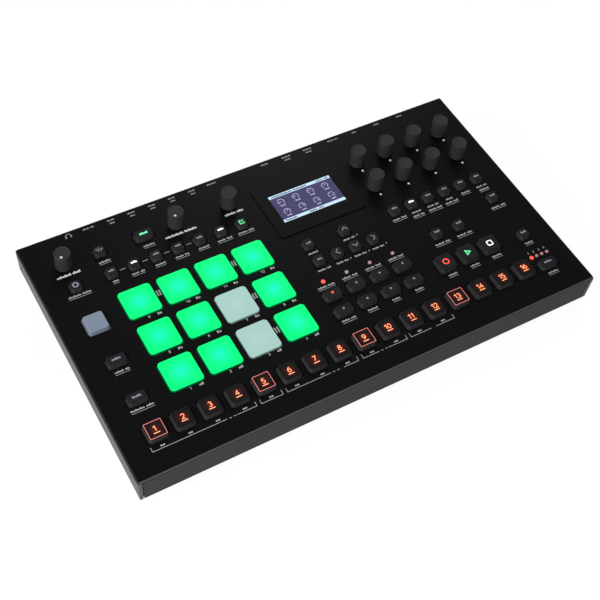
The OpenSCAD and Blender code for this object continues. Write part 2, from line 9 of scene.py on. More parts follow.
# %% Load the frame
import json
import math
import bpy
import numpy as np
from mathutils import Matrix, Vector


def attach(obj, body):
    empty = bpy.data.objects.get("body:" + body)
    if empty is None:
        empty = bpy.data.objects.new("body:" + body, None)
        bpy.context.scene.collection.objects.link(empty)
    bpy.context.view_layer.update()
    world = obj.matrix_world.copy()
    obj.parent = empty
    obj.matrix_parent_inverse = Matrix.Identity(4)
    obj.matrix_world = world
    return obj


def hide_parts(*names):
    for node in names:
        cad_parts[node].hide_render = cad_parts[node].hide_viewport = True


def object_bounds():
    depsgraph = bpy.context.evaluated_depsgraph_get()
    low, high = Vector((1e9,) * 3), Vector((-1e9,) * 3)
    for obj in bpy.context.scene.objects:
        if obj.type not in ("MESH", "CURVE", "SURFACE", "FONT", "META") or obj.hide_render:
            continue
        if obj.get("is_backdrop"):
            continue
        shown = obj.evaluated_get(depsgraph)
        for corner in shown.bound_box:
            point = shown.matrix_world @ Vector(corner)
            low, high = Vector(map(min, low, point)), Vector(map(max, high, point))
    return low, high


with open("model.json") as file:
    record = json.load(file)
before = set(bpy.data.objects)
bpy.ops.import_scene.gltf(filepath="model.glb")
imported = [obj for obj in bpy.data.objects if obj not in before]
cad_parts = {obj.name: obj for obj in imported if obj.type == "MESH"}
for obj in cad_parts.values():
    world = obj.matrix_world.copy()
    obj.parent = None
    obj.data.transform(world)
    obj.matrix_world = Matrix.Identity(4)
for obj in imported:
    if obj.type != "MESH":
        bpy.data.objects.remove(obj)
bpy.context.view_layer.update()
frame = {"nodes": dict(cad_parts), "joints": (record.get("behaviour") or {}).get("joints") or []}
nodes = frame["nodes"]

# %% [markdown]
# ## The panel's own plane
# Controls are laid out as on a drawing: x across, v up the slope from the panel's front
# edge and w square to the sheet. In the frame's own axes every place would need the sine
# and cosine of the slope. A key is pressed straight into the panel, so the axis of its
# joint gives the direction of w, and the sheet's own corners give the two zeros.

# %% Panel coordinates
MM = 0.001
press = next(j for j in frame["joints"] if j["name"] == "step_key_1_press")
NORMAL = -np.array(press["axis"])
ACROSS = np.array([1.0, 0.0, 0.0])
UP = np.cross(NORMAL, ACROSS)


def corners(name):
    """All the vertices of a CAD node, one x, y, z row each."""
    mesh = nodes[name].data
    flat = np.empty(len(mesh.vertices) * 3, np.float32)
    mesh.vertices.foreach_get("co", flat)
    return flat.reshape(-1, 3).astype(float)


sheet = corners("top_panel")
ORIGIN = UP * (sheet @ UP).min() + NORMAL * (sheet @ NORMAL).max()


def on_panel(x, v, w):
    """Panel millimetres to metres: the origin, plus x across, v up the slope, w outwards."""
    x, v, w = np.broadcast_arrays(*(np.asarray(a, float) for a in (x, v, w)))
    return ORIGIN + MM * (x[..., None] * ACROSS + v[..., None] * UP + w[..., None] * NORMAL)


def extent(name):
    """Lowest and highest x, v, w of a node in panel millimetres."""
    local = (corners(name) - ORIGIN) @ np.stack([ACROSS, UP, NORMAL], 1) / MM
    return local.min(0), local.max(0)


def middle(name):
    """The middle of a node across and up the slope."""
    low, high = extent(name)
    return (low[0] + high[0]) / 2, (low[1] + high[1]) / 2


panel_low, panel_high = extent("top_panel")
print("panel", np.round(panel_high - panel_low, 1)[:2], "mm, sloping",
      round(math.degrees(math.asin(UP[2])), 1), "degrees")

# %% [markdown]
# ## Where the controls are
# Keys, pads and knobs are solids of their own, so their places are read from them. The
# smaller buttons come in groups, one solid node for each group. A group's middle says
# nothing of its members, so their rows are written down again here, in millimetres, from
# the same few spacings that the part uses.

# %% Places of the controls
key_at = [middle(f"step_key_{n}") for n in range(1, 17)]
pad_at = [middle(f"drum_pad_{n}") for n in range(1, 13)]
data_knobs = [f"data_knob_{n}" for n in range(1, 9)]
knob_at = {name: middle(name)
           for name in ("volume_knob", "performance_knob", "level_knob", *data_knobs)}
function_at = middle("function_button")
print(len(key_at), "keys,", len(pad_at), "pads,", len(knob_at), "knobs")

# %% Places of the grouped buttons
# A row starts at x, v; its pitch goes across and its rise goes up the slope
left_x, right_x, top_v = key_at[0][0] - 0.3, key_at[15][0] + 20.6, knob_at["volume_knob"][1]
mode_x, mode_v, mode_pitch = -137.3, 164.9, 18.06
param_x, param_v = 86.45, 124.5
param_pitch = (right_x - param_x) / 5
bank_v, bank_rise, lamp_v = 75.3, 16.15, 89.2
nav_x, nav_v, nav_pitch, nav_rise = 7.4, 107.4, 16.12, 17.1
key_pitch = key_at[1][0] - key_at[0][0]

mode_at = [(mode_x + i * mode_pitch, mode_v) for i in range(7)]
param_at = [(param_x + i * param_pitch, param_v) for i in range(6)]
chain_at = [(key_at[i][0], lamp_v + 0.4) for i in (13, 14)]
# Settings, waveform, modes, parameter pages, two at the right, chain and song
small_at = [(left_x, mode_v), (mode_x, top_v), *mode_at, *param_at,
            (right_x, nav_v - 5.8), (right_x, bank_v - bank_rise), *chain_at]
arrow_at = [(nav_x + i * nav_pitch, nav_v) for i in (1, 2, 3)]
arrow_at += [(nav_x + 2 * nav_pitch, nav_v + nav_rise)]
navigation_at = [(nav_x, nav_v), (nav_x, nav_v + nav_rise), *arrow_at]
bank_at = [(key_at[8 + i % 4][0], bank_v - bank_rise * (i // 4)) for i in range(8)]
# Eight banks, two at the left, one at the top, and the page button
wide_at = [*bank_at, (left_x, bank_v + 17.8), (left_x, bank_v - bank_rise),
           (mode_at[2][0], top_v), (right_x, key_at[0][1] - 3.5)]
transport_at = [(key_at[12][0] + (i + 0.5) * key_pitch, bank_v - 13) for i in range(3)]
print(len(small_at), "small,", len(navigation_at), "navigation,", len(wide_at), "wide buttons")

# %% [markdown]
# ## The camera
# The machine is seen from above its left front corner, turned and looking down at about
# 44 degrees. A camera can be aimed with angles or with a constraint, but three directions
# are easier to check: its place and its viewing direction are written in panel coordinates,
# and cross products give the right and up directions, so the three are square to one another.

# %% Camera
FOCAL_MM, SENSOR_MM, NEAREST, FARTHEST = 66.7, 36.0, 0.01, 50.0
panel_axes = np.stack([ACROSS, UP, NORMAL])
eye = on_panel(-309.66, -308.35, 664.58)
looking = np.array([0.34784, 0.47503, -0.80830]) @ panel_axes
sideways = np.array([0.86610, -0.49293, 0.08302]) @ panel_axes
looking /= np.linalg.norm(looking)
upwards = np.cross(sideways, looking)
upwards /= np.linalg.norm(upwards)
turn = np.eye(4)
turn[:3, :3] = np.stack([np.cross(looking, upwards), upwards, -looking], 1)
turn[:3, 3] = eye

lens = bpy.data.cameras.new("camera")
lens.lens, lens.sensor_width = FOCAL_MM, SENSOR_MM
lens.clip_start, lens.clip_end = NEAREST, FARTHEST
camera = bpy.data.objects.new("camera", lens)
bpy.context.scene.collection.objects.link(camera)
camera.matrix_world = Matrix(turn.tolist())
bpy.context.scene.camera = camera
print("camera at", np.round(eye, 3), "metres")

# %% [markdown]
# ## Floor, background and light
# A pale floor catches the soft shadow. A white floor could be had from more light, but that
# would bleach the machine as well. So what the camera and mirror-like surfaces see of the
# floor is mostly its own white glow, mixed in by the Light Path node, while the light on the
# object stays at a plain level. The sky does the same for the camera.

# %% One shader node in one call
def add(tree, kind, links=(), **settings):
    """Adds a node, sets its settings, and fills its inputs from (input, socket or value) pairs."""
    node = tree.nodes.new("ShaderNode" + kind)
    for key, value in settings.items():
        setattr(node, key, value)
    for slot, source in links:
        if isinstance(source, bpy.types.NodeSocket):
            tree.links.new(source, node.inputs[slot])
        else:
            node.inputs[slot].default_value = source
    return node


def seen_by(tree, *rays):
    """1 for rays of the named kinds and 0 for others: the largest of the Light Path's outputs."""
    path = add(tree, "LightPath")
    seen = path.outputs[rays[0]]
    for ray in rays[1:]:
        seen = add(tree, "Math", [(0, seen), (1, path.outputs[ray])],
                   operation="MAXIMUM").outputs[0]
    return seen


# %% Floor
FLOOR_REACH, FLOOR_GREY, FLOOR_GLOW, GLOW_SHARE = 4, 0.8, 1.05, 0.9

floor_paint = bpy.data.materials.new("pale_floor")
floor_paint.use_nodes = True
tree = floor_paint.node_tree
tree.nodes.clear()
matte = add(tree, "BsdfDiffuse", [("Color", (FLOOR_GREY, FLOOR_GREY, FLOOR_GREY, 1))])
shine = add(tree, "Emission", [("Strength", FLOOR_GLOW)])
seen = seen_by(tree, "Is Camera Ray", "Is Glossy Ray", "Is Transmission Ray")
share = add(tree, "Math", [(0, seen), (1, GLOW_SHARE)], operation="MULTIPLY").outputs[0]
mixed = add(tree, "MixShader", [(0, share), (1, matte.outputs[0]), (2, shine.outputs[0])])
add(tree, "OutputMaterial", [(0, mixed.outputs[0])])

ground = bpy.data.meshes.new("floor")
ground.from_pydata([(x * FLOOR_REACH, y * FLOOR_REACH, 0)
                    for x, y in ((-1, -1), (1, -1), (1, 1), (-1, 1))], [], [(0, 1, 2, 3)])
ground.materials.append(floor_paint)
floor = bpy.data.objects.new("floor", ground)
bpy.context.scene.collection.objects.link(floor)
floor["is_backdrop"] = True
print("floor", 2 * FLOOR_REACH, "metres wide")

# %% Sky
SKY_LIGHT, WHITE = 0.24, (1, 1, 1, 1)

sky = bpy.data.worlds.new("studio")
bpy.context.scene.world = sky
sky.use_nodes = True
tree = sky.node_tree
tree.nodes.clear()
even = add(tree, "Background", [("Color", WHITE), ("Strength", SKY_LIGHT)])
backdrop = add(tree, "Background", [("Color", WHITE), ("Strength", 1.0)])
mixed = add(tree, "MixShader", [(0, seen_by(tree, "Is Camera Ray")), (1, even.outputs[0]),
                                (2, backdrop.outputs[0])])
add(tree, "OutputWorld", [(0, mixed.outputs[0])])
print("even sky of strength", SKY_LIGHT)

# %% [markdown]
# ## Lamps
# Bare bulbs would give hard shadows and hot spots, so four square soft lamps stand round
# the machine: a broad one at the left, one at the right that leaves no mirror image, one
# behind whose image gives the paint its sheen, and a low one at the front left for the
# front wall.

# %% Lamps
def lamp(name, place, size, watts, mirrored=True):
    """A square soft lamp that shines at the frame's origin: its own z axis points away from it."""
    data = bpy.data.lights.new(name, "AREA")
    data.shape, data.size, data.energy = "SQUARE", size, watts
    thing = bpy.data.objects.new(name, data)
    bpy.context.scene.collection.objects.link(thing)
    out = np.array(place) / np.linalg.norm(place)
    side = np.cross([0, 0, 1], out)
    side /= np.linalg.norm(side)
    facing = np.eye(4)
    facing[:3, :3] = np.stack([side, np.cross(out, side), out], 1)
    facing[:3, 3] = place
    thing.matrix_world = Matrix(facing.tolist())
    thing.visible_glossy = mirrored


# Name, place and size in metres, and watts
lamp("soft_left", (-1.15, -0.5, 0.95), 0.9, 15.0)
lamp("soft_right", (1.2, 0.5, 1.1), 0.7, 7.0, mirrored=False)
lamp("soft_back", (0.48, 0.80, 0.90), 0.35, 1.5)
lamp("low_front", (-0.62, -0.62, 0.28), 0.35, 1.7)
bpy.context.scene.view_settings.view_transform = "Standard"
print(len(bpy.data.lights), "lamps")

# %% [markdown]
# ## Finishes
# A real surface is never one flat colour. A picture of paint could be wrapped round each
# piece, but it would need unwrapping and would repeat. Here each finish starts from a base
# colour and adds two layers of noise, read in object coordinates so that they stay on the
# piece: a coarse one that clouds the colour a little, and a fine one that moves the
# roughness and lifts a shallow grain. The scale is given in millimetres, as a maker would
# think of it.

# %% The shared finish
CLOUDS_PER_METRE, NOISE_LOW, NOISE_HIGH = 45.0, 0.3, 0.7


def parts_of(material):
    """A material's node tree and its Principled shader."""
    return material.node_tree, material.node_tree.nodes["Principled BSDF"]


def finish(name, colour, rough, cloud, grain_mm, depth_mm, spread=0.07, metal=0.0, specular=0.5):
    """Base colour ± cloud from coarse noise; roughness ± spread and bump from fine noise."""
    made = bpy.data.materials.new(name)
    made.use_nodes = True
    tree, shader = parts_of(made)
    place = add(tree, "TexCoord").outputs["Object"]
    coarse = add(tree, "TexNoise", [("Vector", place), ("Scale", CLOUDS_PER_METRE),
                                    ("Detail", 3.0)])
    fine = add(tree, "TexNoise", [("Vector", place), ("Scale", 1 / (grain_mm * MM)),
                                  ("Detail", 2.0)]).outputs["Fac"]
    low = tuple(c * (1 - cloud) for c in colour) + (1,)
    high = tuple(c * (1 + cloud) for c in colour) + (1,)
    tint = add(tree, "MixRGB", [("Fac", coarse.outputs["Fac"]), ("Color1", low), ("Color2", high)])
    gloss = add(tree, "MapRange", [("Value", fine), ("From Min", NOISE_LOW),
                                   ("From Max", NOISE_HIGH), ("To Min", rough - spread),
                                   ("To Max", rough + spread)])
    relief = add(tree, "Bump", [("Height", fine), ("Strength", 1.0), ("Distance", depth_mm * MM)])
    tree.links.new(tint.outputs["Color"], shader.inputs["Base Color"])
    tree.links.new(gloss.outputs["Result"], shader.inputs["Roughness"])
    tree.links.new(relief.outputs["Normal"], shader.inputs["Normal"])
    shader.inputs["Metallic"].default_value = metal
    shader.inputs["Specular IOR Level"].default_value = specular
    return made


# %% Paints, plastics and metals
before = len(bpy.data.materials)
# Name, colour, roughness, cloud, grain and its depth in millimetres
panel_paint = finish("panel_powder_coat", (0.0025, 0.0024, 0.0030), 0.42, 0.15, 0.45, 0.008,
                     specular=0.14)
# Painted reflection: the case and sides share the panel's dark paint, made far paler here to stand
# in for the pale floor mirrored in their walls; the sides also mirror it for real
case_paint_painted_reflection = finish("case_coat_painted_reflection", (0.054, 0.054, 0.0545), 0.50, 0.12, 0.45, 0.02,
                    specular=0.03)
side_paint_painted_reflection = finish("side_coat_painted_reflection", (0.058, 0.054, 0.051), 0.50, 0.12, 0.45, 0.02,
                    specular=0.6)
foot_rubber = finish("foot_rubber", (0.014, 0.014, 0.014), 0.8, 0.2, 0.8, 0.03, specular=0.3)
screw_steel = finish("blackened_steel", (0.12, 0.12, 0.125), 0.38, 0.2, 0.3, 0.004, metal=1.0)
frame_black = finish("frame_black", (0.0034, 0.0033, 0.0037), 0.40, 0.15, 0.7, 0.006,
                     specular=0.13)
lens_milk = finish("lamp_lens", (0.55, 0.36, 0.36), 0.35, 0.1, 0.4, 0.004)
socket_black = finish("socket_black", (0.012, 0.012, 0.013), 0.45, 0.15, 0.5, 0.01)
nickel = finish("nickel_plate", (0.62, 0.61, 0.58), 0.24, 0.08, 0.3, 0.002, metal=1.0)
button_black = finish("satin_keycap", (0.0105, 0.0105, 0.0118), 0.46, 0.2, 0.5, 0.008,
                      specular=0.28)
button_grey = finish("pale_keycap", (0.222, 0.272, 0.35), 0.42, 0.06, 0.5, 0.006)
knob_black = finish("soft_touch_grey", (0.026, 0.027, 0.029), 0.62, 0.14, 0.4, 0.014,
                    specular=0.35)
print(len(bpy.data.materials) - before, "finishes so far")

# %% [markdown]
# ## Painted light that changes with place
# The panel's bevels catch more light than its face, and the drafted sides of a black cap
# more than its top. That light is painted here, as a paler base colour. Each could have a
# material of its own, but then its faces would have to be picked out one by one. Here one
# material reads the panel coordinates of every point and blends in a second base colour on
# one side of a line.

# %% Panel coordinates in a material
def panel_value(tree, direction):
    """One panel coordinate in metres: the object coordinate less the origin, along a direction."""
    place = add(tree, "TexCoord").outputs["Object"]
    moved = add(tree, "VectorMath", [(0, place), (1, tuple(ORIGIN))], operation="SUBTRACT")
    return add(tree, "VectorMath", [(0, moved.outputs[0]), (1, tuple(direction))],
               operation="DOT_PRODUCT").outputs["Value"]


def blend_base(made, colour, direction, from_mm, to_mm):
    """Painted light: a second base colour that gives way to the finish's own between two panel
    coordinates.
    """
    tree, shader = parts_of(made)
    own = shader.inputs["Base Color"].links[0].from_socket
    share = add(tree, "MapRange", [("Value", panel_value(tree, direction)),
                                   ("From Min", from_mm * MM), ("From Max", to_mm * MM)])
    both = add(tree, "MixRGB", [("Fac", share.outputs["Result"]), ("Color1", colour + (1,)),
                                ("Color2", own)])
    tree.links.new(both.outputs["Color"], shader.inputs["Base Color"])


# %% Painted highlights on bevels and cap sides
# Painted highlight: the front bevel paler, the left bevel less so; the edge under the front bevel
# stays nearly as dark as the panel
blend_base(panel_paint, (0.085, 0.080, 0.076), UP, 1.1, 1.3)
blend_base(panel_paint, (0.004, 0.004, 0.004), UP, 0.1, 0.3)
blend_base(panel_paint, (0.022, 0.021, 0.020), ACROSS, panel_low[0] + 1.0, panel_low[0] + 1.2)

key_black = finish("lit_keycap", (0.0070, 0.0064, 0.0068), 0.48, 0.2, 0.5, 0.008, specular=0.18)
# Painted light: below the tops, the drafted sides of keys and buttons get a paler base colour
blend_base(key_black, (0.044, 0.040, 0.040), NORMAL, 2.7, 3.5)
blend_base(button_black, (0.042, 0.040, 0.041), NORMAL, 2.3, 3.1)
print("three edges on the panel, paler sides on two kinds of cap")

# %% [markdown]
# ## Light inside the caps
# The step keys glow round their numbers and the pads are lit from below. A lamp in every
# cap would be truer to life, but slow to render and full of noise. Both come in even rows,
# so one material serves them all: the distance to the nearest cap's middle is found by
# wrapping the panel coordinates at the spacing of the row, and a bell curve of that
# distance gives the glow.

# %% Distance to the nearest cap
def from_nearest(tree, direction, first_mm, pitch_mm):
    """Offset from the nearest of even middles: subtract the first, wrap at half a pitch."""
    half = pitch_mm * MM / 2
    moved = add(tree, "Math", [(0, panel_value(tree, direction)), (1, first_mm * MM)],
                operation="SUBTRACT")
    return add(tree, "Math", [(0, moved.outputs[0]), (1, half), (2, -half)],
               operation="WRAP").outputs[0]


def bell(tree, a, b, spread_mm):
    """A bell curve of the distance: e to the power of minus (a² + b²) over spread²."""
    squares = [add(tree, "Math", [(0, s), (1, 2.0)], operation="POWER").outputs[0] for s in (a, b)]
    total = add(tree, "Math", [(0, squares[0]), (1, squares[1])], operation="ADD")
    scaled = add(tree, "Math", [(0, total.outputs[0]), (1, -1 / (spread_mm * MM) ** 2)],
                 operation="MULTIPLY")
    return add(tree, "Math", [(0, scaled.outputs[0])], operation="EXPONENT").outputs[0]


# %% Step key glow
GLOW_SPREAD_MM, GLOW_LEVEL = 3.0, 0.085
LONE_ROW_MM = 100  # a pitch up the slope so long that no second row shows

tree, shader = parts_of(key_black)
halo = bell(tree, from_nearest(tree, ACROSS, key_at[0][0], key_pitch),
            from_nearest(tree, UP, key_at[0][1], LONE_ROW_MM), GLOW_SPREAD_MM)
halo = add(tree, "Math", [(0, halo), (1, GLOW_LEVEL)], operation="MULTIPLY").outputs[0]
shader.inputs["Emission Color"].default_value = (1.0, 0.09, 0.01, 1)
tree.links.new(halo, shader.inputs["Emission Strength"])
print("glow round", len(key_at), "numbers,", round(key_pitch, 2), "mm apart")

# %% [markdown]
# ## Silicone pads
# The pads are milky silicone over small lamps, ten of them green and two nearly unlit. The
# light is even over the flat top, hardly leaves the sides, and shifts in hue towards the
# lamp in the middle. Real scattering would need a thick body and long paths of light, so
# the top gives off its own light here, and the height over the panel fades it out.

# %% Pad finishes
PALE_PADS, PAD_LAMP_MM = (3, 7), 6.5
# Below the first height a pad gives off the side's share of its light, above the second all
SIDE_MM, FLAT_MM, SIDE_SHARE = 0.75, 1.2, 0.05
# Across to the next pad, and up to the next row of four
pad_pitch = pad_at[1][0] - pad_at[0][0], pad_at[4][1] - pad_at[0][1]


def pad_finish(name, colour, edge, centre, strength):
    """Silicone that glows in full on the flat top, its hue a bell curve from edge to centre."""
    made = finish(name, colour, 0.42, 0.05, 0.5, 0.01, specular=0.2)
    tree, shader = parts_of(made)
    near = bell(tree, from_nearest(tree, ACROSS, pad_at[0][0], pad_pitch[0]),
                from_nearest(tree, UP, pad_at[0][1], pad_pitch[1]), PAD_LAMP_MM)
    tint = add(tree, "MixRGB", [("Fac", near), ("Color1", edge + (1,)), ("Color2", centre + (1,))])
    lit = add(tree, "MapRange", [("Value", panel_value(tree, NORMAL)), ("From Min", SIDE_MM * MM),
                                 ("From Max", FLAT_MM * MM), ("To Min", strength * SIDE_SHARE),
                                 ("To Max", strength)])
    tree.links.new(tint.outputs["Color"], shader.inputs["Emission Color"])
    tree.links.new(lit.outputs["Result"], shader.inputs["Emission Strength"])
    return made


pad_green = pad_finish("lit_silicone", (0.0, 0.10, 0.04), (0.0, 1.0, 0.205),
                       (0.012, 1.0, 0.56), 0.97)
pad_pale = pad_finish("unlit_silicone", (0.31, 0.50, 0.48), (0.30, 0.42, 0.34),
                      (0.40, 0.46, 0.47), 0.46)
print("pads", np.round(pad_pitch, 2), "mm apart, pale ones", PALE_PADS)

# %% [markdown]
# ## Ink and small lamps
# Printed marks are matt ink. Lit marks are thin windows, so they give off light: orange
# numbers, pink outlines, green, white and red signs, and the screen's pale blue. A picture
# laid on the panel could show them all at once, but it would blur close up and it couldn't
# move with the keys, so each kind is a finish and each mark gets a shape of its own.

# %% Glowing finishes
GRAINS_PER_METRE, RIPPLE = 900.0, 0.1


def glowing(name, colour, glow, strength):
    """A small lit window: a finish whose own light is strength ± a ripple of fine noise."""
    made = finish(name, colour, 0.4, 0.1, 0.5, 0.004)
    tree, shader = parts_of(made)
    place = add(tree, "TexCoord").outputs["Object"]
    grain = add(tree, "TexNoise", [("Vector", place), ("Scale", GRAINS_PER_METRE), ("Detail", 1.0)])
    level = add(tree, "MapRange", [("Value", grain.outputs["Fac"]), ("From Min", NOISE_LOW),
                                   ("From Max", NOISE_HIGH), ("To Min", strength * (1 - RIPPLE)),
                                   ("To Max", strength * (1 + RIPPLE))])
    shader.inputs["Emission Color"].default_value = glow + (1,)
    tree.links.new(level.outputs["Result"], shader.inputs["Emission Strength"])
    return made


# %% Inks and lit windows
ink_white = finish("white_ink", (0.44, 0.44, 0.45), 0.6, 0.08, 0.3, 0.003)
ink_bright = finish("bright_ink", (0.80, 0.80, 0.80), 0.6, 0.08, 0.3, 0.003)
ink_grey = finish("grey_ink", (0.34, 0.35, 0.37), 0.6, 0.1, 0.3, 0.003)
ink_blue = finish("cool_grey_window", (0.30, 0.34, 0.42), 0.5, 0.1, 0.3, 0.003)
# Name, colour of the window, colour of its light and its strength
lit_orange = glowing("lit_orange", (0.5, 0.08, 0.02), (1.0, 0.095, 0.022), 1.05)
lit_yellow = glowing("lit_yellow", (0.6, 0.3, 0.15), (1.0, 0.50, 0.26), 1.3)
lit_pink = glowing("lit_pink", (0.3, 0.08, 0.08), (1.0, 0.25, 0.24), 0.85)
lit_green = glowing("lit_green", (0.1, 0.4, 0.2), (0.12, 1.0, 0.42), 1.0)
lit_white = glowing("lit_white", (0.7, 0.7, 0.75), (0.90, 0.90, 1.0), 1.3)
lit_red = glowing("lit_red", (0.6, 0.07, 0.05), (1.0, 0.062, 0.042), 1.4)
lit_dim = glowing("lit_dim", (0.42, 0.24, 0.24), (0.8, 0.30, 0.28), 0.16)
screen_navy = glowing("screen_navy", (0.01, 0.01, 0.02), (0.17, 0.155, 0.50), 0.22)
screen_pale = glowing("screen_pale", (0.05, 0.05, 0.06), (0.62, 0.86, 1.0), 0.95)
screen_line = glowing("screen_line", (0.05, 0.05, 0.06), (0.72, 0.62, 1.0), 0.75)
print(len(bpy.data.materials) - before, "finishes so far")

# %% [markdown]
# ## Finishes on the solids
# The solids whose shapes are already right keep their meshes and only change material. The
# circuit boards sit inside, but a part is taken apart sooner or later, so they get solder
# mask with its fine grid of tracks too: a brick pattern whose paler mortar is the tracks.

# %% Solder mask and screen glass
# A brick of the pattern is half a unit wide and a quarter high: here 2.1 by 1.0 mm
MASK_GREEN, UNITS_PER_METRE, ROW = (0.012, 0.085, 0.035), 240.0, 0.25

solder_mask = finish("solder_mask", MASK_GREEN, 0.36, 0.2, 1.2, 0.01)
tree, shader = parts_of(solder_mask)
place = add(tree, "TexCoord").outputs["Object"]
tracks = add(tree, "TexBrick", [("Vector", place), ("Scale", UNITS_PER_METRE),
                                ("Color1", MASK_GREEN + (1,)), ("Color2", (0.010, 0.070, 0.030, 1)),
                                ("Mortar", (0.03, 0.16, 0.06, 1)), ("Mortar Size", 0.03)])
tree.links.new(tracks.outputs["Color"], shader.inputs["Base Color"])
screen_glass = finish("screen_glass", (0.004, 0.004, 0.010), 0.14, 0.2, 4.0, 0.002, spread=0.03)
print("tracks", round(ROW / UNITS_PER_METRE / MM, 1), "mm apart")

# %% A finish for every solid
finishes = {
    "top_panel": panel_paint, "chassis_tray": case_paint_painted_reflection, "side_panels": side_paint_painted_reflection,
    "rubber_feet": foot_rubber, "case_screws": screw_steel, "display_frame": frame_black,
    "display_module": screen_glass, "back_panel": case_paint_painted_reflection, "circuit_boards": solder_mask,
    "encoder_bodies": nickel, "status_lamps": lens_milk, "phone_jacks": socket_black,
    "midi_sockets": socket_black, "usb_socket": nickel, "dc_inlet": socket_black,
    "power_button": button_black, "function_button": button_grey,
    "small_buttons": button_black, "navigation_buttons": button_black,
    "wide_buttons": button_black, "transport_buttons": button_black,
}
finishes |= {f"step_key_{n}": key_black for n in range(1, 17)}
finishes |= {f"drum_pad_{n}": pad_pale if n in PALE_PADS else pad_green for n in range(1, 13)}
# The nodes that are left are the knobs
for name, node in nodes.items():
    for part in node.material_slots:
        part.material = finishes.get(name, knob_black)
print("finishes on", len(nodes), "solids")

# %% [markdown]
# ## Surfaces from arrays
# New pieces are grids of points. A row is one outline, and the rows are stacked up: on a
# keycap they are rounded rectangles that shrink and rise, on a knob circles. The helper
# joins neighbouring rows with four-cornered faces and closes the two ends, so every shell
# is closed and its faces point outwards. Boxes and cylinders with modifiers could do much
# of this, but an array shows every measure and comes out the same each time.

# %% From a grid to a piece
def ring_faces(rows, cols, wrap):
    """Quads (row, col), (row, col + 1), (row + 1, col + 1), (row + 1, col), columns in a ring."""
    row = np.arange(rows if wrap else rows - 1)[:, None]
    col, beside, above = np.arange(cols), (np.arange(cols) + 1) % cols, (row + 1) % rows
    quads = row * cols + col, row * cols + beside, above * cols + beside, above * cols + col
    return np.stack(quads, -1).reshape(-1, 4)


def build(name, shells, material, body, sharp=35, replaces=None):
    """One piece from closed shells, each a rows × columns × 3 grid and whether its rows wrap."""
    points, faces, first = [], [], 0
    for grid, wrap in shells:
        rows, cols = grid.shape[:2]
        points.append(grid.reshape(-1, 3))
        faces += (first + ring_faces(rows, cols, wrap)).tolist()
        if not wrap:
            faces.append(list(range(first + cols - 1, first - 1, -1)))
            faces.append(list(range(first + (rows - 1) * cols, first + rows * cols)))
        first += rows * cols
    mesh = bpy.data.meshes.new(name)
    mesh.from_pydata(np.concatenate(points).tolist(), [], faces)
    mesh.materials.append(material)
    mesh.shade_smooth()
    mesh.set_sharp_from_angle(angle=math.radians(sharp))
    piece = bpy.data.objects.new(name, mesh)
    bpy.context.scene.collection.objects.link(piece)
    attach(piece, body)
    if replaces:
        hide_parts(replaces)


# %% [markdown]
# ## Keycaps and pads
# A cap is straight where it slides in its hole, has a slight draft above the panel, a soft
# rounded edge and a barely dished top. Under the sheet a wider flange holds it in. A bevel
# on the CAD solid would soften the edge but not dish the top, so the whole cap is one
# profile of inset and height, carried round a rounded rectangle.

# %% A cap as a stack of outlines
# The flange's overhang and its two heights, and the smallest corner radius
LIP, FLANGE_LOW, FLANGE_HIGH, LEAST_R = 1.5, -2.8, -1.8, 0.3


def rounded(w, d, r, steps=6):
    """Corner centres at ±(half side − r), plus r times a direction that turns a full circle."""
    angle = np.radians(np.arange(4)[:, None] * 90 + np.linspace(0, 90, steps + 1))
    x = np.array([1, -1, -1, 1])[:, None] * (w / 2 - r) + r * np.cos(angle)
    y = np.array([1, 1, -1, -1])[:, None] * (d / 2 - r) + r * np.sin(angle)
    return np.stack([x.ravel(), y.ravel()], -1)


def cap(place, w, d, r, top, soft=0.7, dish=0.12, draft=0.6):
    """Profile (inset, height): flange, shaft, draft, a quarter circle, then the dished top."""
    quarter = np.radians(np.linspace(0, 90, 8))
    inset = np.concatenate([[-LIP, -LIP, 0, 0], draft + soft * (1 - np.cos(quarter))])
    height = np.concatenate([[FLANGE_LOW, FLANGE_HIGH, FLANGE_HIGH, 0],
                             top - soft + soft * np.sin(quarter)])
    rows = [rounded(w - 2 * s, d - 2 * s, max(r - s, LEAST_R)) for s in inset]
    shrink = np.linspace(1, 0.04, 7)[1:]
    rows += [rows[-1] * f for f in shrink]
    height = np.concatenate([height, top - dish * (1 - shrink ** 2)])
    flat = np.stack(rows)
    return on_panel(place[0] + flat[..., 0], place[1] + flat[..., 1], height[:, None]), False


# %% Sixteen keys and twelve pads
KEY_S, PAD_S, KEY_TOP, PAD_TOP = 15.3, 25.8, 3.6, 1.3

for n, place in enumerate(key_at, 1):
    build(f"keycap_{n}", [cap(place, KEY_S, KEY_S, 2.7, KEY_TOP, 0.8, draft=0.7)], key_black,
          f"step_key_{n}", replaces=f"step_key_{n}")
for n, place in enumerate(pad_at, 1):
    silicone, slot = (pad_pale, "pad_pale") if n in PALE_PADS else (pad_green, "pad_green")
    build(f"pad_{n}", [cap(place, PAD_S, PAD_S, 3.0, PAD_TOP, soft=0.3, dish=0.05, draft=0.05)],
          silicone, f"drum_pad_{n}", replaces=f"drum_pad_{n}")
print(len(key_at), "keycaps and", len(pad_at), "pads")

# %% [markdown]
# ## Buttons in groups
# The small, wide and transport buttons are caps of the same kind, but the CAD part holds
# each group as one body. A mesh for every cap would only make many pieces that go down
# together, so the caps of a group share one.

# %% Grouped buttons
SMALL_S, WIDE_S, FUNCTION_S, BUTTON_TOP = 9.2, 15.3, 16.5, 3.2

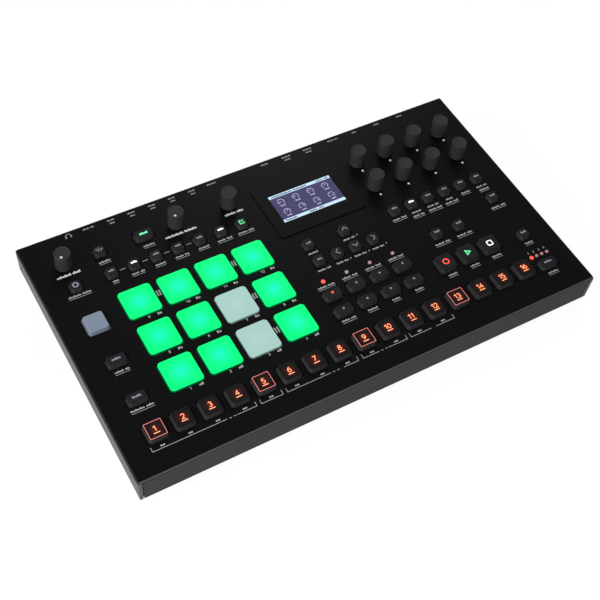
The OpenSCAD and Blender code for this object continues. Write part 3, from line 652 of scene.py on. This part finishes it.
groups = {
    "small_buttons": (small_at, SMALL_S, SMALL_S, 2.3, BUTTON_TOP),
    "navigation_buttons": (navigation_at, SMALL_S, SMALL_S, 2.3, BUTTON_TOP),
    "wide_buttons": (wide_at, WIDE_S, SMALL_S, 2.5, BUTTON_TOP),
    "transport_buttons": (transport_at, KEY_S, KEY_S, 2.7, KEY_TOP),
}
for name, (places, w, d, r, top) in groups.items():
    build(name.replace("buttons", "caps"), [cap(p, w, d, r, top) for p in places],
          button_black, name, replaces=name)
build("function_cap", [cap(function_at, FUNCTION_S, FUNCTION_S, 2.6, BUTTON_TOP, 0.9)],
      button_grey, "function_button", replaces="function_button")
print(len(groups), "groups of buttons and one button by itself")

# %% [markdown]
# ## Knobs
# A knob is turned: its profile goes up the shaft, round the hollow that clears the nut, out
# under the skirt, up the barrel and over a rounded rim into the dish. A curve with a screw
# modifier would do it too, but radii and heights times a ring of angles say the same in one
# line. The facets are smoothed, and only the real creases stay sharp.

# %% Turned pieces
def turned(place, profile, sides, to_world=on_panel):
    """(ρ·cos a, ρ·sin a, height) for every profile point (ρ, height) and every angle a."""
    a = np.linspace(0, 2 * np.pi, sides, endpoint=False)
    rho, height = np.asarray(profile, float).T[..., None]
    return to_world(place[0] + rho * np.cos(a), place[1] + rho * np.sin(a), height), False


# %% The knobs
BARREL_R, SKIRT_R, SHAFT_R, HOLLOW_R, AXIS_R = 6.2, 6.5, 3, 5.1, 0.1
KNOB_TOP, ROOF, UNDERSIDE, SHAFT_FOOT = 15.15, 7, 0.3, -6
KNOB_DISH, RIM, KNOB_SIDES = 0.35, 0.5, 160

# Flare and dish follow 3·t² − 2·t³, which starts and ends level; the rim is a quarter circle
up, quarter = np.linspace(0, 1, 7), np.radians(np.linspace(0, 90, 7))
ease = 3 * up ** 2 - 2 * up ** 3
inside = [[AXIS_R, SHAFT_FOOT], [SHAFT_R, SHAFT_FOOT], [SHAFT_R, ROOF], [HOLLOW_R, ROOF],
          [HOLLOW_R, UNDERSIDE]]
skirt = [[SKIRT_R - 0.1, UNDERSIDE], [SKIRT_R, 0.4]]
flare = np.stack([SKIRT_R + (BARREL_R - SKIRT_R) * ease, 1.0 + 1.8 * up], -1)
edge = np.stack([BARREL_R - RIM + RIM * np.cos(quarter),
                 KNOB_TOP - RIM + RIM * np.sin(quarter)], -1)
slope = np.stack([BARREL_R - 0.85 - 0.5 * up, KNOB_TOP - KNOB_DISH * ease], -1)
dished = [[2.5, KNOB_TOP - KNOB_DISH - 0.06], [AXIS_R, KNOB_TOP - KNOB_DISH - 0.1]]
knob_profile = np.concatenate([inside, skirt, flare, edge, slope, dished])

for name, place in knob_at.items():
    build(name + "_turned", [turned(place, knob_profile, KNOB_SIDES)], knob_black, name,
          60, replaces=name)
print(len(knob_at), "knobs")

# %% [markdown]
# ## Strokes
# Prints, numbers and frames are all strokes: a small rectangle carried along a flat line.
# A bevelled curve object grows thin at sharp corners. Here the two edges of a stroke move
# along the mitre at a bend, so corners stay crisp and of even width. The ink is a few
# hundredths of a millimetre thick, enough to lie on the paint.

# %% A stroke along a line
# Height over the ground, depth in it, and the divisor that keeps a sharp mitre short
INK, SUNK, TIGHTEST = 0.05, 0.03, 0.35


def stroke(path, width, base=0.0, thick=INK, closed=False, to_world=on_panel):
    """Points move half the width along (n1 + n2) / (1 + n1·n2), n1 and n2 the side normals."""
    p = np.asarray(path, float)
    run = np.diff(np.vstack([p, p[:1]]) if closed else p, axis=0)
    side = np.stack([-run[:, 1], run[:, 0]], -1) / np.linalg.norm(run, axis=1, keepdims=True)
    before = np.roll(side, 1, 0) if closed else np.vstack([side[:1], side])
    after = side if closed else np.vstack([side, side[-1:]])
    bend = np.maximum(1 + (before * after).sum(1), TIGHTEST)[:, None]
    mitre = (before + after) / bend * width / 2
    flat = np.stack([p + mitre, p + mitre, p - mitre, p - mitre], 1)
    height = np.array([base - SUNK, base + thick, base + thick, base - SUNK])
    return to_world(flat[..., 0], flat[..., 1], height), closed


def arc(cx, cy, rx, ry, start, stop, steps=14):
    """Points of an ellipse from one angle to another, in degrees."""
    a = np.radians(np.linspace(start, stop, steps + 1))
    return np.stack([cx + rx * np.cos(a), cy + ry * np.sin(a)], -1)


def disc(x, v, r, base=0.0, thick=INK):
    """A low round spot with a slightly rounded edge."""
    return turned((x, v), [[0.05, base - SUNK], [r, base - SUNK], [r, base + thick * 0.6],
                           [r * 0.85, base + thick], [0.05, base + thick]], 20)


# %% [markdown]
# ## Numbers
# The keys and pads are numbered. Text objects would need a font, and a font's outlines make
# untidy meshes, so each numeral is one or two lines in a box 0.62 wide and 1 high; the nine
# is the six turned round. On a key the light runs hot along the middle of each line, so a
# narrow bright core lies on the wider orange one.

# %% Numerals
NUMERAL_W = 0.62
six = [(arc(0.31, 0.31, 0.31, 0.31, 0, 340, 16), True),
       (arc(0.56, 0.35, 0.56, 0.65, 180, 95, 8), False)]
NUMERALS = {
    "0": [(arc(0.31, 0.5, 0.31, 0.5, 0, 340, 17), True)],
    "1": [([(0.06, 0.78), (0.38, 1), (0.38, 0)], False)],
    "2": [(np.vstack([arc(0.31, 0.69, 0.3, 0.31, 165, -40, 10), [(0.02, 0), (0.64, 0)]]), False)],
    "3": [(arc(0.3, 0.75, 0.27, 0.25, 150, -90, 10), False),
          (arc(0.3, 0.26, 0.31, 0.26, 90, -150, 10), False)],
    "4": [([(0.47, 0), (0.47, 1), (0, 0.27), (0.66, 0.27)], False)],
    "5": [(np.vstack([[(0.57, 1), (0.12, 1), (0.07, 0.52)],
                      arc(0.3, 0.31, 0.31, 0.32, 125, -150, 10)]), False)],
    "6": six,
    "7": [([(0, 1), (0.62, 1), (0.2, 0)], False)],
    "8": [(arc(0.31, 0.77, 0.25, 0.23, 0, 340, 15), True),
          (arc(0.31, 0.27, 0.31, 0.27, 0, 340, 15), True)],
    "9": [(np.array([NUMERAL_W, 1.0]) - path, closed) for path, closed in six],
}
print(len(NUMERALS), "numerals")

# %% A whole number
def number(value, x, v, high, width, advance=0.92, **where):
    """A number's strokes, centred on x, v; each numeral advances a share of the height."""
    shells, digits = [], str(value)
    start = x - high * (advance * (len(digits) - 1) + NUMERAL_W) / 2
    for i, digit in enumerate(digits):
        for path, closed in NUMERALS[digit]:
            moved = np.asarray(path) * high + (start + advance * high * i, v - high / 2)
            shells.append(stroke(moved, width, closed=closed, **where))
    return shells


# %% Numbers on the keys
# A digit's height, its advance as a share of that, and its rise over the key's middle; the
# drop of the line below it, and how many keys share one outline
DIGIT_H, DIGIT_PACE, DIGIT_RISE, LINE_DROP, BEAT = 3.8, 0.68, 0.5, 2.95, 4
on_key, in_core = dict(base=KEY_TOP - 0.1, thick=0.09), dict(base=KEY_TOP - 0.02, thick=0.03)


def key_mark(n, x, v, width, line_width, left, right, where):
    """A key's number, and under it a line from x − left to x + right."""
    middle_x, low_v = x - (0.1 if n < 10 else 0.4), v - LINE_DROP
    shells = number(n, middle_x, v + DIGIT_RISE, DIGIT_H, width, DIGIT_PACE, **where)
    return shells + [stroke([(x - left, low_v), (x + right, low_v)], line_width, **where)]


for n, (x, v) in enumerate(key_at, 1):
    outer = key_mark(n, x, v, 0.66, 0.72, 2.5, 2.3, on_key)
    build(f"key_number_{n}", outer, lit_orange, f"step_key_{n}")
    core = key_mark(n, x, v, 0.3, 0.4, 2.3, 2.1, in_core)
    build(f"key_number_core_{n}", core, lit_yellow, f"step_key_{n}")
    if n % BEAT == 1:
        square = stroke(rounded(12.4, 12.4, 0.4, 2) + (x, v), 0.4, KEY_TOP - 0.08, 0.09, True)
        build(f"key_outline_{n}", [square], lit_pink, f"step_key_{n}")
print("numbers on", len(key_at), "keys")

# %% [markdown]
# ## Labels without words
# The panel is printed all over with small captions. This machine carries no names, so each
# caption is a row of short blocks, as a typographer greeks text in a layout: the rhythm
# and tone of print without a letter in it. Most captions have a thin rule under them that
# ties them to their button.

# %% Captions and rules
# A capital's height, a small letter's share of it, and the blocks' spacing
CAPITAL, LETTER, BLOCK_PITCH = 1.55, 0.72, 1.12
LINE_FEED, RULE_DROP, RULE_W = 3.7, 2.1, 0.32


def caption(x0, x1, v, high=CAPITAL, step=BLOCK_PITCH, **where):
    """Blocks at even steps; every third is tall as a capital, and a long one has a word gap."""
    count = max(2, round((x1 - x0) / step))
    pace = (x1 - x0) / count
    shells = []
    for i in range(count):
        if count > 8 and i == count * 3 // 5:
            continue
        x = x0 + (i + 0.5) * pace
        tall = high if (i + round(v)) % 3 == 0 else high * LETTER
        shells.append(stroke([(x, v - high / 2), (x, v - high / 2 + tall)], pace * 0.8, **where))
    return shells


def centred(x, half, v, *sizes, **where):
    """A caption from x − half to x + half."""
    return caption(x - half, x + half, v, *sizes, **where)


def captioned(x, v, half, second=None):
    """A centred caption with a rule under it; second is the half width of a further line."""
    shells = centred(x, half, v)
    if second:
        v, half = v - LINE_FEED, second
        shells += centred(x, half, v)
    return shells + [stroke([(x - half, v - RULE_DROP), (x + half, v - RULE_DROP)], RULE_W)]


def row(v, places, halves):
    """Captions with rules, all at one height; only the x of each place counts."""
    return [shell for (x, _), half in zip(places, halves) for shell in captioned(x, v, half)]


# %% Captions of the knobs and buttons
# Heights of the rows up the slope
TOP_ROW, MODE_ROW, CHAIN_ROW, TRANSPORT_ROW, PARAM_ROW = 177.8, 157.6, 80.7, 51.6, 116.4
BANK_ROWS, NAV_ROWS, RIGHT_ROWS = (84.7, 51.4), (116.5, 99.2), (92.5, 51, 19.2)
TITLE_H, DOT_R = 2.1, 0.55

titles = (caption(-175.1, -156.7, 177.7, TITLE_H, 1.25) + caption(-87.5, -61.2, 177.8, TITLE_H)
          + caption(-36.5, -20.7, 178.2, TITLE_H))
build("knob_captions", titles, ink_bright, "case")

ink = row(TOP_ROW, (mode_at[0], mode_at[2]), (4.6, 4.6))
ink += row(MODE_ROW, mode_at, (2.4, 5.2, 4.2, 5.6, 4.6, 6.2, 6.8))
for x, v, half in ((-165.7, MODE_ROW, 8.8), (-165.3, BANK_ROWS[0], 5.6),
                   (-165.4, BANK_ROWS[1], 8.6)):
    ink += captioned(x, v, half)
nav_columns = [nav_x + i * nav_pitch for i in range(4)]
for x, half in zip(nav_columns[::2], (4.2, 5.2)):
    ink += centred(x, half, NAV_ROWS[0])
for x, half in zip(nav_columns, (5.6, 5.2, 5.2, 5.2)):
    ink += centred(x, half, NAV_ROWS[1])
ink += [disc(x, v, DOT_R) for x, v in ((47.1, 117.2), (30.9, 99.3), (47.5, 99.3), (63.7, 100))]
for (x, _), half, second in zip(param_at, (6.4, 4.2, 5.2, 3.2, 4.2, 5.0),
                                (None, 5.2, 6.4, 6.0, None, 4.4)):
    ink += captioned(x, PARAM_ROW, half, second)
for v, half in zip(RIGHT_ROWS, (6.8, 3.6, 4.6)):
    ink += captioned(right_x, v, half)
ink += row(BANK_ROWS[0], bank_at[:4], (7.2, 6.6, 7.0, 6.8))
ink += row(BANK_ROWS[1], bank_at[4:], (6.0, 4.2, 3.4, 3.6))
ink += row(CHAIN_ROW, chain_at, (6.8, 7.0)) + row(TRANSPORT_ROW, transport_at, (4.0, 4.2, 4.4))
build("panel_captions", ink, ink_white, "case")
print(len(titles) + len(ink), "strokes of caption print")

# %% [markdown]
# ## Print along the back edge
# Every socket behind has its small caption on the panel over it, some of them in two lines.
# They could be spread evenly, but they follow their sockets, so a table gives each one's
# middle, half width and number of lines.

# %% Socket captions
EDGE_ROWS, SECOND_SHARE, EDGE_H, EDGE_STEP = (212.3, 209.3), 0.7, 1.3, 1.0

edge_ink = []
for x, half, lines in ((-135.6, 4.6, 1), (-117.2, 3.0, 2), (-100.3, 3.0, 2), (-82.9, 3.0, 2),
                       (-66, 3.0, 2), (-48.6, 3.0, 2), (-31.2, 4.0, 1), (17, 3.2, 1),
                       (36.9, 4.0, 2), (56.8, 4.0, 2), (81.2, 5.0, 1), (102.1, 2.2, 1),
                       (124, 2.6, 1), (146.9, 2.8, 1)):
    edge_ink += centred(x, half, EDGE_ROWS[0], EDGE_H, EDGE_STEP)
    if lines == 2:
        edge_ink += centred(x, half * SECOND_SHARE, EDGE_ROWS[1], EDGE_H, EDGE_STEP)
# A headphone mark: a bow and its two cups
edge_ink += [stroke(arc(-152, 211.3, 2.0, 2.2, 180, 0, 10), 0.5)]
edge_ink += [stroke([(x, 211.9), (x, 209.7)], 1.1) for x in (-154, -150)]
build("socket_captions", edge_ink, ink_grey, "case")
print(len(edge_ink), "strokes along the back edge")

# %% [markdown]
# ## Rules, brackets and spots
# Brackets under the step keys join them in groups, double bars stand between some pads,
# dashes join the mode buttons and a white spot marks each data knob. They are print like
# the captions, so the same strokes draw them. The two knobs that stop at their ends have a
# dot on the top, which turns with them.

# %% Brackets under the keys
# A bracket's line and its turned-up ends, its width, and the spacing of dashes in a gap
BRACKET_V, TIP_V, LINE_W, DASH_PITCH = 17.2, 20.8, 0.4, 3.6

guides = []
for x0, x1, gap in ((-173.7, -94.9, (-118, -110)), (-91.1, -74, None),
                    (-70.4, -12, (-35.4, -24.4)), (-8, 29.8, (5.4, 13.4)),
                    (33.3, 71.6, (51.2, 55.2))):
    left, right = [(x0, TIP_V), (x0, BRACKET_V)], [(x1, BRACKET_V), (x1, TIP_V)]
    if gap:
        a, b = gap
        guides += [stroke([*left, (a, BRACKET_V)], LINE_W),
                   stroke([(b, BRACKET_V), *right], LINE_W)]
        guides += [stroke([(m - 1, BRACKET_V), (m + 1, BRACKET_V)], LINE_W)
                   for m in np.arange(a + 2.6, b - 1.5, DASH_PITCH)]
    else:
        guides += [stroke(left + right, LINE_W)]
for x, _ in key_at[:12]:
    guides += centred(x, 1.8, 19.4, 1.6, 1.8)
print(len(guides), "strokes under the keys")

# %% Pad numbers, bars and dashes
for n, (x, v) in enumerate(pad_at, 1):
    below = v - 15.1
    guides += number(n, x + 0.5, below, 1.9, 0.42) + caption(x + 6.9, x + 10.5, below, 1.9, 1.8)
for x, v in ((-51.9, 66.4), (-51.9, 100.3), (-51.9, 133.9), (-114, 133.9)):
    guides += [stroke([(x + s, v - 2.6), (x + s, v + 2.6)], 0.9) for s in (-1, 1)]
guides += [stroke([(x, 165.3), (x + 4.6, 165.3)], 0.45) for x in (-130.6, -112.4, -94.5, -76.2)]
for n, shift in enumerate((-7.4, -2.5, 2.5, 7.4), 1):
    guides += number(n, right_x + shift, 41.7, 1.6, 0.4)
build("panel_guides", guides, ink_white, "case")
print(len(guides), "strokes of guide print")

# %% Spots of the knobs
marked = [knob_at[name] for name in data_knobs]
build("data_knob_spots", [disc(x - 0.1, v - 9.6, 0.95) for x, v in marked], ink_bright, "case")
for name in ("volume_knob", "performance_knob"):
    x, v = knob_at[name]
    build(name + "_dot", [disc(x - 2.1, v - 3.4, 1.0, 14.73, 0.1)], ink_bright, name)
print(len(marked), "spots on the panel and 2 on knobs")

# %% [markdown]
# ## Marks on the buttons
# The navigation buttons carry arrows, the transport buttons the usual circle, triangle and
# square. The other caps get short captions in a cool grey, and the few that are switched
# on light up. On the real caps they are windows in the plastic; here they lie in the top
# of the cap and ride on its body, so they sink with it.

# %% Symbols on the caps
on_cap = dict(base=BUTTON_TOP - 0.1, thick=0.08)

arrows = []
for (x, v), turn_by in zip(arrow_at, (90, 180, 270, 0)):
    c, s = math.cos(math.radians(turn_by)), math.sin(math.radians(turn_by))
    wing = np.array([(-2.5, -1.2), (0, 1.5), (2.5, -1.2)]) @ np.array([[c, s], [-s, c]])
    arrows.append(stroke(wing + (x, v), 0.6, **on_cap))
for x, v in navigation_at[:2]:
    arrows += centred(x, 2.2, v, 1.5, 1.4, **on_cap)
build("navigation_marks", arrows, ink_blue, "navigation_buttons")

# The transport caps are as tall as the keys
ring = stroke(arc(*transport_at[0], 2.3, 2.3, 0, 345, 23), 0.8, closed=True, **on_key)
build("record_mark", [ring], lit_red, "transport_buttons")
x, v = transport_at[1]
triangle = stroke([(x - 1.6, v - 2.0), (x + 2.0, v), (x - 1.6, v + 2.0)], 0.75, closed=True,
                  **on_key)
build("play_mark", [triangle], lit_green, "transport_buttons")
square = stroke(rounded(4.2, 4.2, 0.9, 3) + transport_at[2], 0.75, closed=True, **on_key)
build("stop_mark", [square], lit_white, "transport_buttons")
print("marks on", len(navigation_at), "navigation and", len(transport_at), "transport caps")

# %% Captions and lights on the small caps
# Places in the list of small buttons
GEAR, WAVE, LIT_SMALL, TEMPO = 0, 1, (3, 7, 10), 8

gear = small_at[GEAR]
teeth = [np.array([math.cos(a), math.sin(a)]) for a in np.radians(np.arange(0, 360, 45))]
small_marks = [stroke(arc(*gear, 1.7, 1.7, 0, 340, 17), 0.7, closed=True, **on_cap)]
small_marks += [stroke([gear + 2.0 * d, gear + 2.7 * d], 0.8, **on_cap) for d in teeth]
wave = np.array([(-2.8, 0), (-1.7, 1.3), (-0.8, -1.6), (0.3, 2.0), (1.2, -1.2), (2.0, 0.8),
                 (2.8, 0)])
small_marks += [stroke(wave + small_at[WAVE], 0.5, **on_cap)]
bright_marks = []
for i, (x, v) in enumerate(small_at):
    if i not in (GEAR, WAVE, TEMPO):
        marks = bright_marks if i in LIT_SMALL else small_marks
        marks.extend(centred(x, 2.4, v + 0.8, 1.8, 1.25, **on_cap))
build("small_button_marks", small_marks, ink_blue, "small_buttons")
build("lit_button_marks", bright_marks, lit_white, "small_buttons")

x, v = small_at[TEMPO]
sheet_of_paper = [(0.4, 1.8), (-1.7, 1.8), (-1.7, -1.6), (1.7, -1.6), (1.7, -0.3)]
tempo = [stroke(np.array(line) + (x, v), 0.5, **on_cap)
         for line in (sheet_of_paper, [(-0.5, -0.3), (1.9, 1.9)])]
build("tempo_mark", tempo, lit_green, "small_buttons")
print("marks on", len(small_at), "small caps")

# %% Captions and lights on the wide caps
# Places in the list of wide buttons
BANK_LIT, BANK_CAPS, OPEN_LIT = 0, slice(1, 8), 10

spots = [disc(x, v + 0.6, 0.85, **on_cap) for x, v in wide_at[BANK_CAPS]]
for x, v in wide_at[8:OPEN_LIT] + wide_at[OPEN_LIT + 1:]:
    spots += centred(x, 3.4, v + 0.6, 1.8, 1.4, **on_cap)
build("wide_button_marks", spots, ink_blue, "wide_buttons")
x, v = wide_at[BANK_LIT]
build("bank_light", [disc(x, v + 0.6, 1.0, **on_cap)], lit_red, "wide_buttons")
x, v = wide_at[OPEN_LIT]
build("open_light", centred(x, 3.4, v + 0.4, 2.0, 1.3, **on_cap), lit_green, "wide_buttons")
print("marks on", len(wide_at), "wide caps")

# %% [markdown]
# ## Signal lamps
# Four milky lenses stand over the bank buttons and four smaller ones over the page button.
# The first of each row is lit. A material that knew its place could light one lens of the
# group, but a glowing dome that fits over the lens like a skin is plainer and stays a
# piece of its own.

# %% Lit lenses
SKIN, LENS_WALL, DOME_RISE, PAGE_PITCH = 0.03, 0.3, 0.66, 4.93


def dome(place, d):
    """A lens skin a few hundredths wider than the lens: sphere-like top over a short wall."""
    a = np.radians(np.linspace(0, 88, 8))
    top = np.stack([d / 2 * np.cos(a) + SKIN, LENS_WALL + DOME_RISE * np.sin(a)], -1)
    wall, tip = [[0.05, 0.02], [d / 2 + SKIN, 0.02]], [[0.02, 0.97]]
    return turned(place, np.vstack([wall, top, tip]), 24)


page_x, page_v = [right_x + (i - 1.5) * PAGE_PITCH for i in range(4)], key_at[0][1] + 6.6
build("bank_lamp_lit", [dome((bank_at[0][0], lamp_v), 3.3)], lit_red, "case")
build("page_lamp_lit", [dome((page_x[0], page_v), 3.2)], lit_red, "case")
build("page_lamps_dim", [dome((x, page_v), 2.6) for x in page_x[1:]], lit_dim, "case")
print("2 lenses lit,", len(page_x) - 1, "dim")

# %% [markdown]
# ## The screen
# The lit area is a thin pane just above the glass. Two pale bars run along its top and
# bottom, with dark blocks for their captions, and between them eight round dials with a
# pointer each stand in two rows. A picture as a texture would do, but strokes stay sharp
# at any distance, and this layout shows no maker's screen.

# %% Screen picture
HALF_W, HALF_D, BAR_D, FILM = 27.85, 14.0, 2.7, 0.02
DIAL_R, POINTER, DIAL_PITCH, DIAL_ROWS = 2.6, 1.9, 13.4, (6.0, -4.6)

low, high = extent("display_module")
sx, sv, glass_w = (low[0] + high[0]) / 2, (low[1] + high[1]) / 2, high[2]
on_pane, on_bar = dict(base=glass_w + 0.03, thick=FILM), dict(base=glass_w + 0.06, thick=FILM)
bar_v = HALF_D - BAR_D / 2

pane = stroke([(sx - HALF_W, sv), (sx + HALF_W, sv)], 2 * HALF_D, glass_w, FILM)
build("screen_pane", [pane], screen_navy, "case")
bars = [stroke([(sx - HALF_W, sv + s * bar_v), (sx + HALF_W, sv + s * bar_v)], BAR_D, **on_pane)
        for s in (-1, 1)]
build("screen_bars", bars, screen_pale, "case")
dark = []
for x0, x1, s in ((-26, 6, 1), (15, 26, 1), (-26, -16, -1), (-5, 8, -1)):
    dark += caption(sx + x0, sx + x1, sv + s * bar_v, 1.5, 1.2, **on_bar)
build("screen_bar_captions", dark, screen_navy, "case")

dials = []
for i in range(8):
    x, v = sx - 20.5 + DIAL_PITCH * (i % 4), sv + DIAL_ROWS[i // 4]
    a = math.radians(200 - 37 * i)
    dials.append(stroke(arc(x, v, DIAL_R, DIAL_R, -50, 230, 18), 0.5, **on_pane))
    dials.append(stroke([(x, v), (x + POINTER * math.cos(a), v + POINTER * math.sin(a))], 0.5,
                        **on_pane))
    dials += centred(x, 2.2, v - 3.9, 1.2, 1.2, **on_pane)
build("screen_dials", dials, screen_line, "case")
print("screen with", len(dials), "strokes")

# %% [markdown]
# ## Back wall and underside
# Seen from behind, each phone socket shows the nickel mouth of its sleeve, each round
# socket its contacts. Under the base, the screws' cross recesses are painted shade: dark
# crosses on the head, as cutting them would need the solid again. The same stroke and
# turning helpers make all of it, given a plane of their own to work in.

# %% Planes for the back and the base
BACK_V = panel_high[1] - 0.3
heads = corners("case_screws") / MM
HEAD_Z = heads[:, 2].min()


def on_back(x, depth, out):
    """Across the back wall, down from the panel's plane, and out of the wall."""
    return on_panel(x, BACK_V + np.asarray(out, float), -np.asarray(depth, float))


def under_base(x, y, out):
    """The screw heads' plane seen from below: x runs the other way, out points down."""
    x, y, out = np.broadcast_arrays(*(np.asarray(a, float) for a in (x, y, out)))
    return MM * np.stack([-x, y, HEAD_Z - out], -1)


def pipe(place, inner, outer, low, high, sides):
    """A short pipe on the back wall: a rectangle of two radii and two heights, turned."""
    outline = [[inner, low], [outer, low], [outer, high], [inner, high]]
    return turned(place, outline, sides, on_back)[0], True


print("screw heads", round(HEAD_Z, 2), "mm over the floor")


# %% Socket mouths, contacts and painted shade of screw recesses
JACK_DEPTHS, ROUND_X, ROUND_DEPTH, CONTACT_RING = (46.0, 24.0), (17, 36.9, 56.8), 35, 3.5
CELL, ARM = 20, 1.5

jack_columns = [-152.6 + 17.34 * i for i in range(8)] + [81.2]
jacks_at = [(x, depth) for x in jack_columns for depth in JACK_DEPTHS]
jacks_at.remove((jack_columns[0], JACK_DEPTHS[1]))  # the first column has one jack only
mouths = [pipe(place, 3.24, 3.75, 2.5, 3.52, 32) for place in jacks_at]
build("jack_mouths", mouths, nickel, "case")
contacts = [pipe((x - CONTACT_RING * math.sin(a), ROUND_DEPTH + CONTACT_RING * math.cos(a)),
                 0.5, 0.8, -0.3, 0.52, 16)
            for x in ROUND_X for a in np.radians((-90, -45, 0, 45, 90))]
build("round_socket_contacts", contacts, nickel, "case")

# The heads' points are sorted into square cells; a head across a cell's border gets two crosses
low_heads = heads[heads[:, 2] < HEAD_Z + 0.1][:, :2]
cells = np.round(low_heads / CELL)
crosses = []
for cell in np.unique(cells, axis=0):
    x, y = low_heads[(cells == cell).all(1)].mean(0)
    crosses += [stroke([(-x - ARM * c, y - ARM * s), (-x + ARM * c, y + ARM * s)], 0.7, 0, 0.03,
                       to_world=under_base) for c, s in ((1, 0), (0, 1))]
# Painted shade: each recess is a flat dark cross on the head
build("screw_recess_shade", crosses, socket_black, "case")
print(len(jacks_at), "jack mouths,", len(contacts), "contacts,", len(crosses) // 2, "recesses")

# %% [markdown]
# ## Size
# The bounds of all the shown pieces are measured, the floor left out. The dressed model
# has to stay in the CAD part's box.

# %% Finish
low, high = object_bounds()
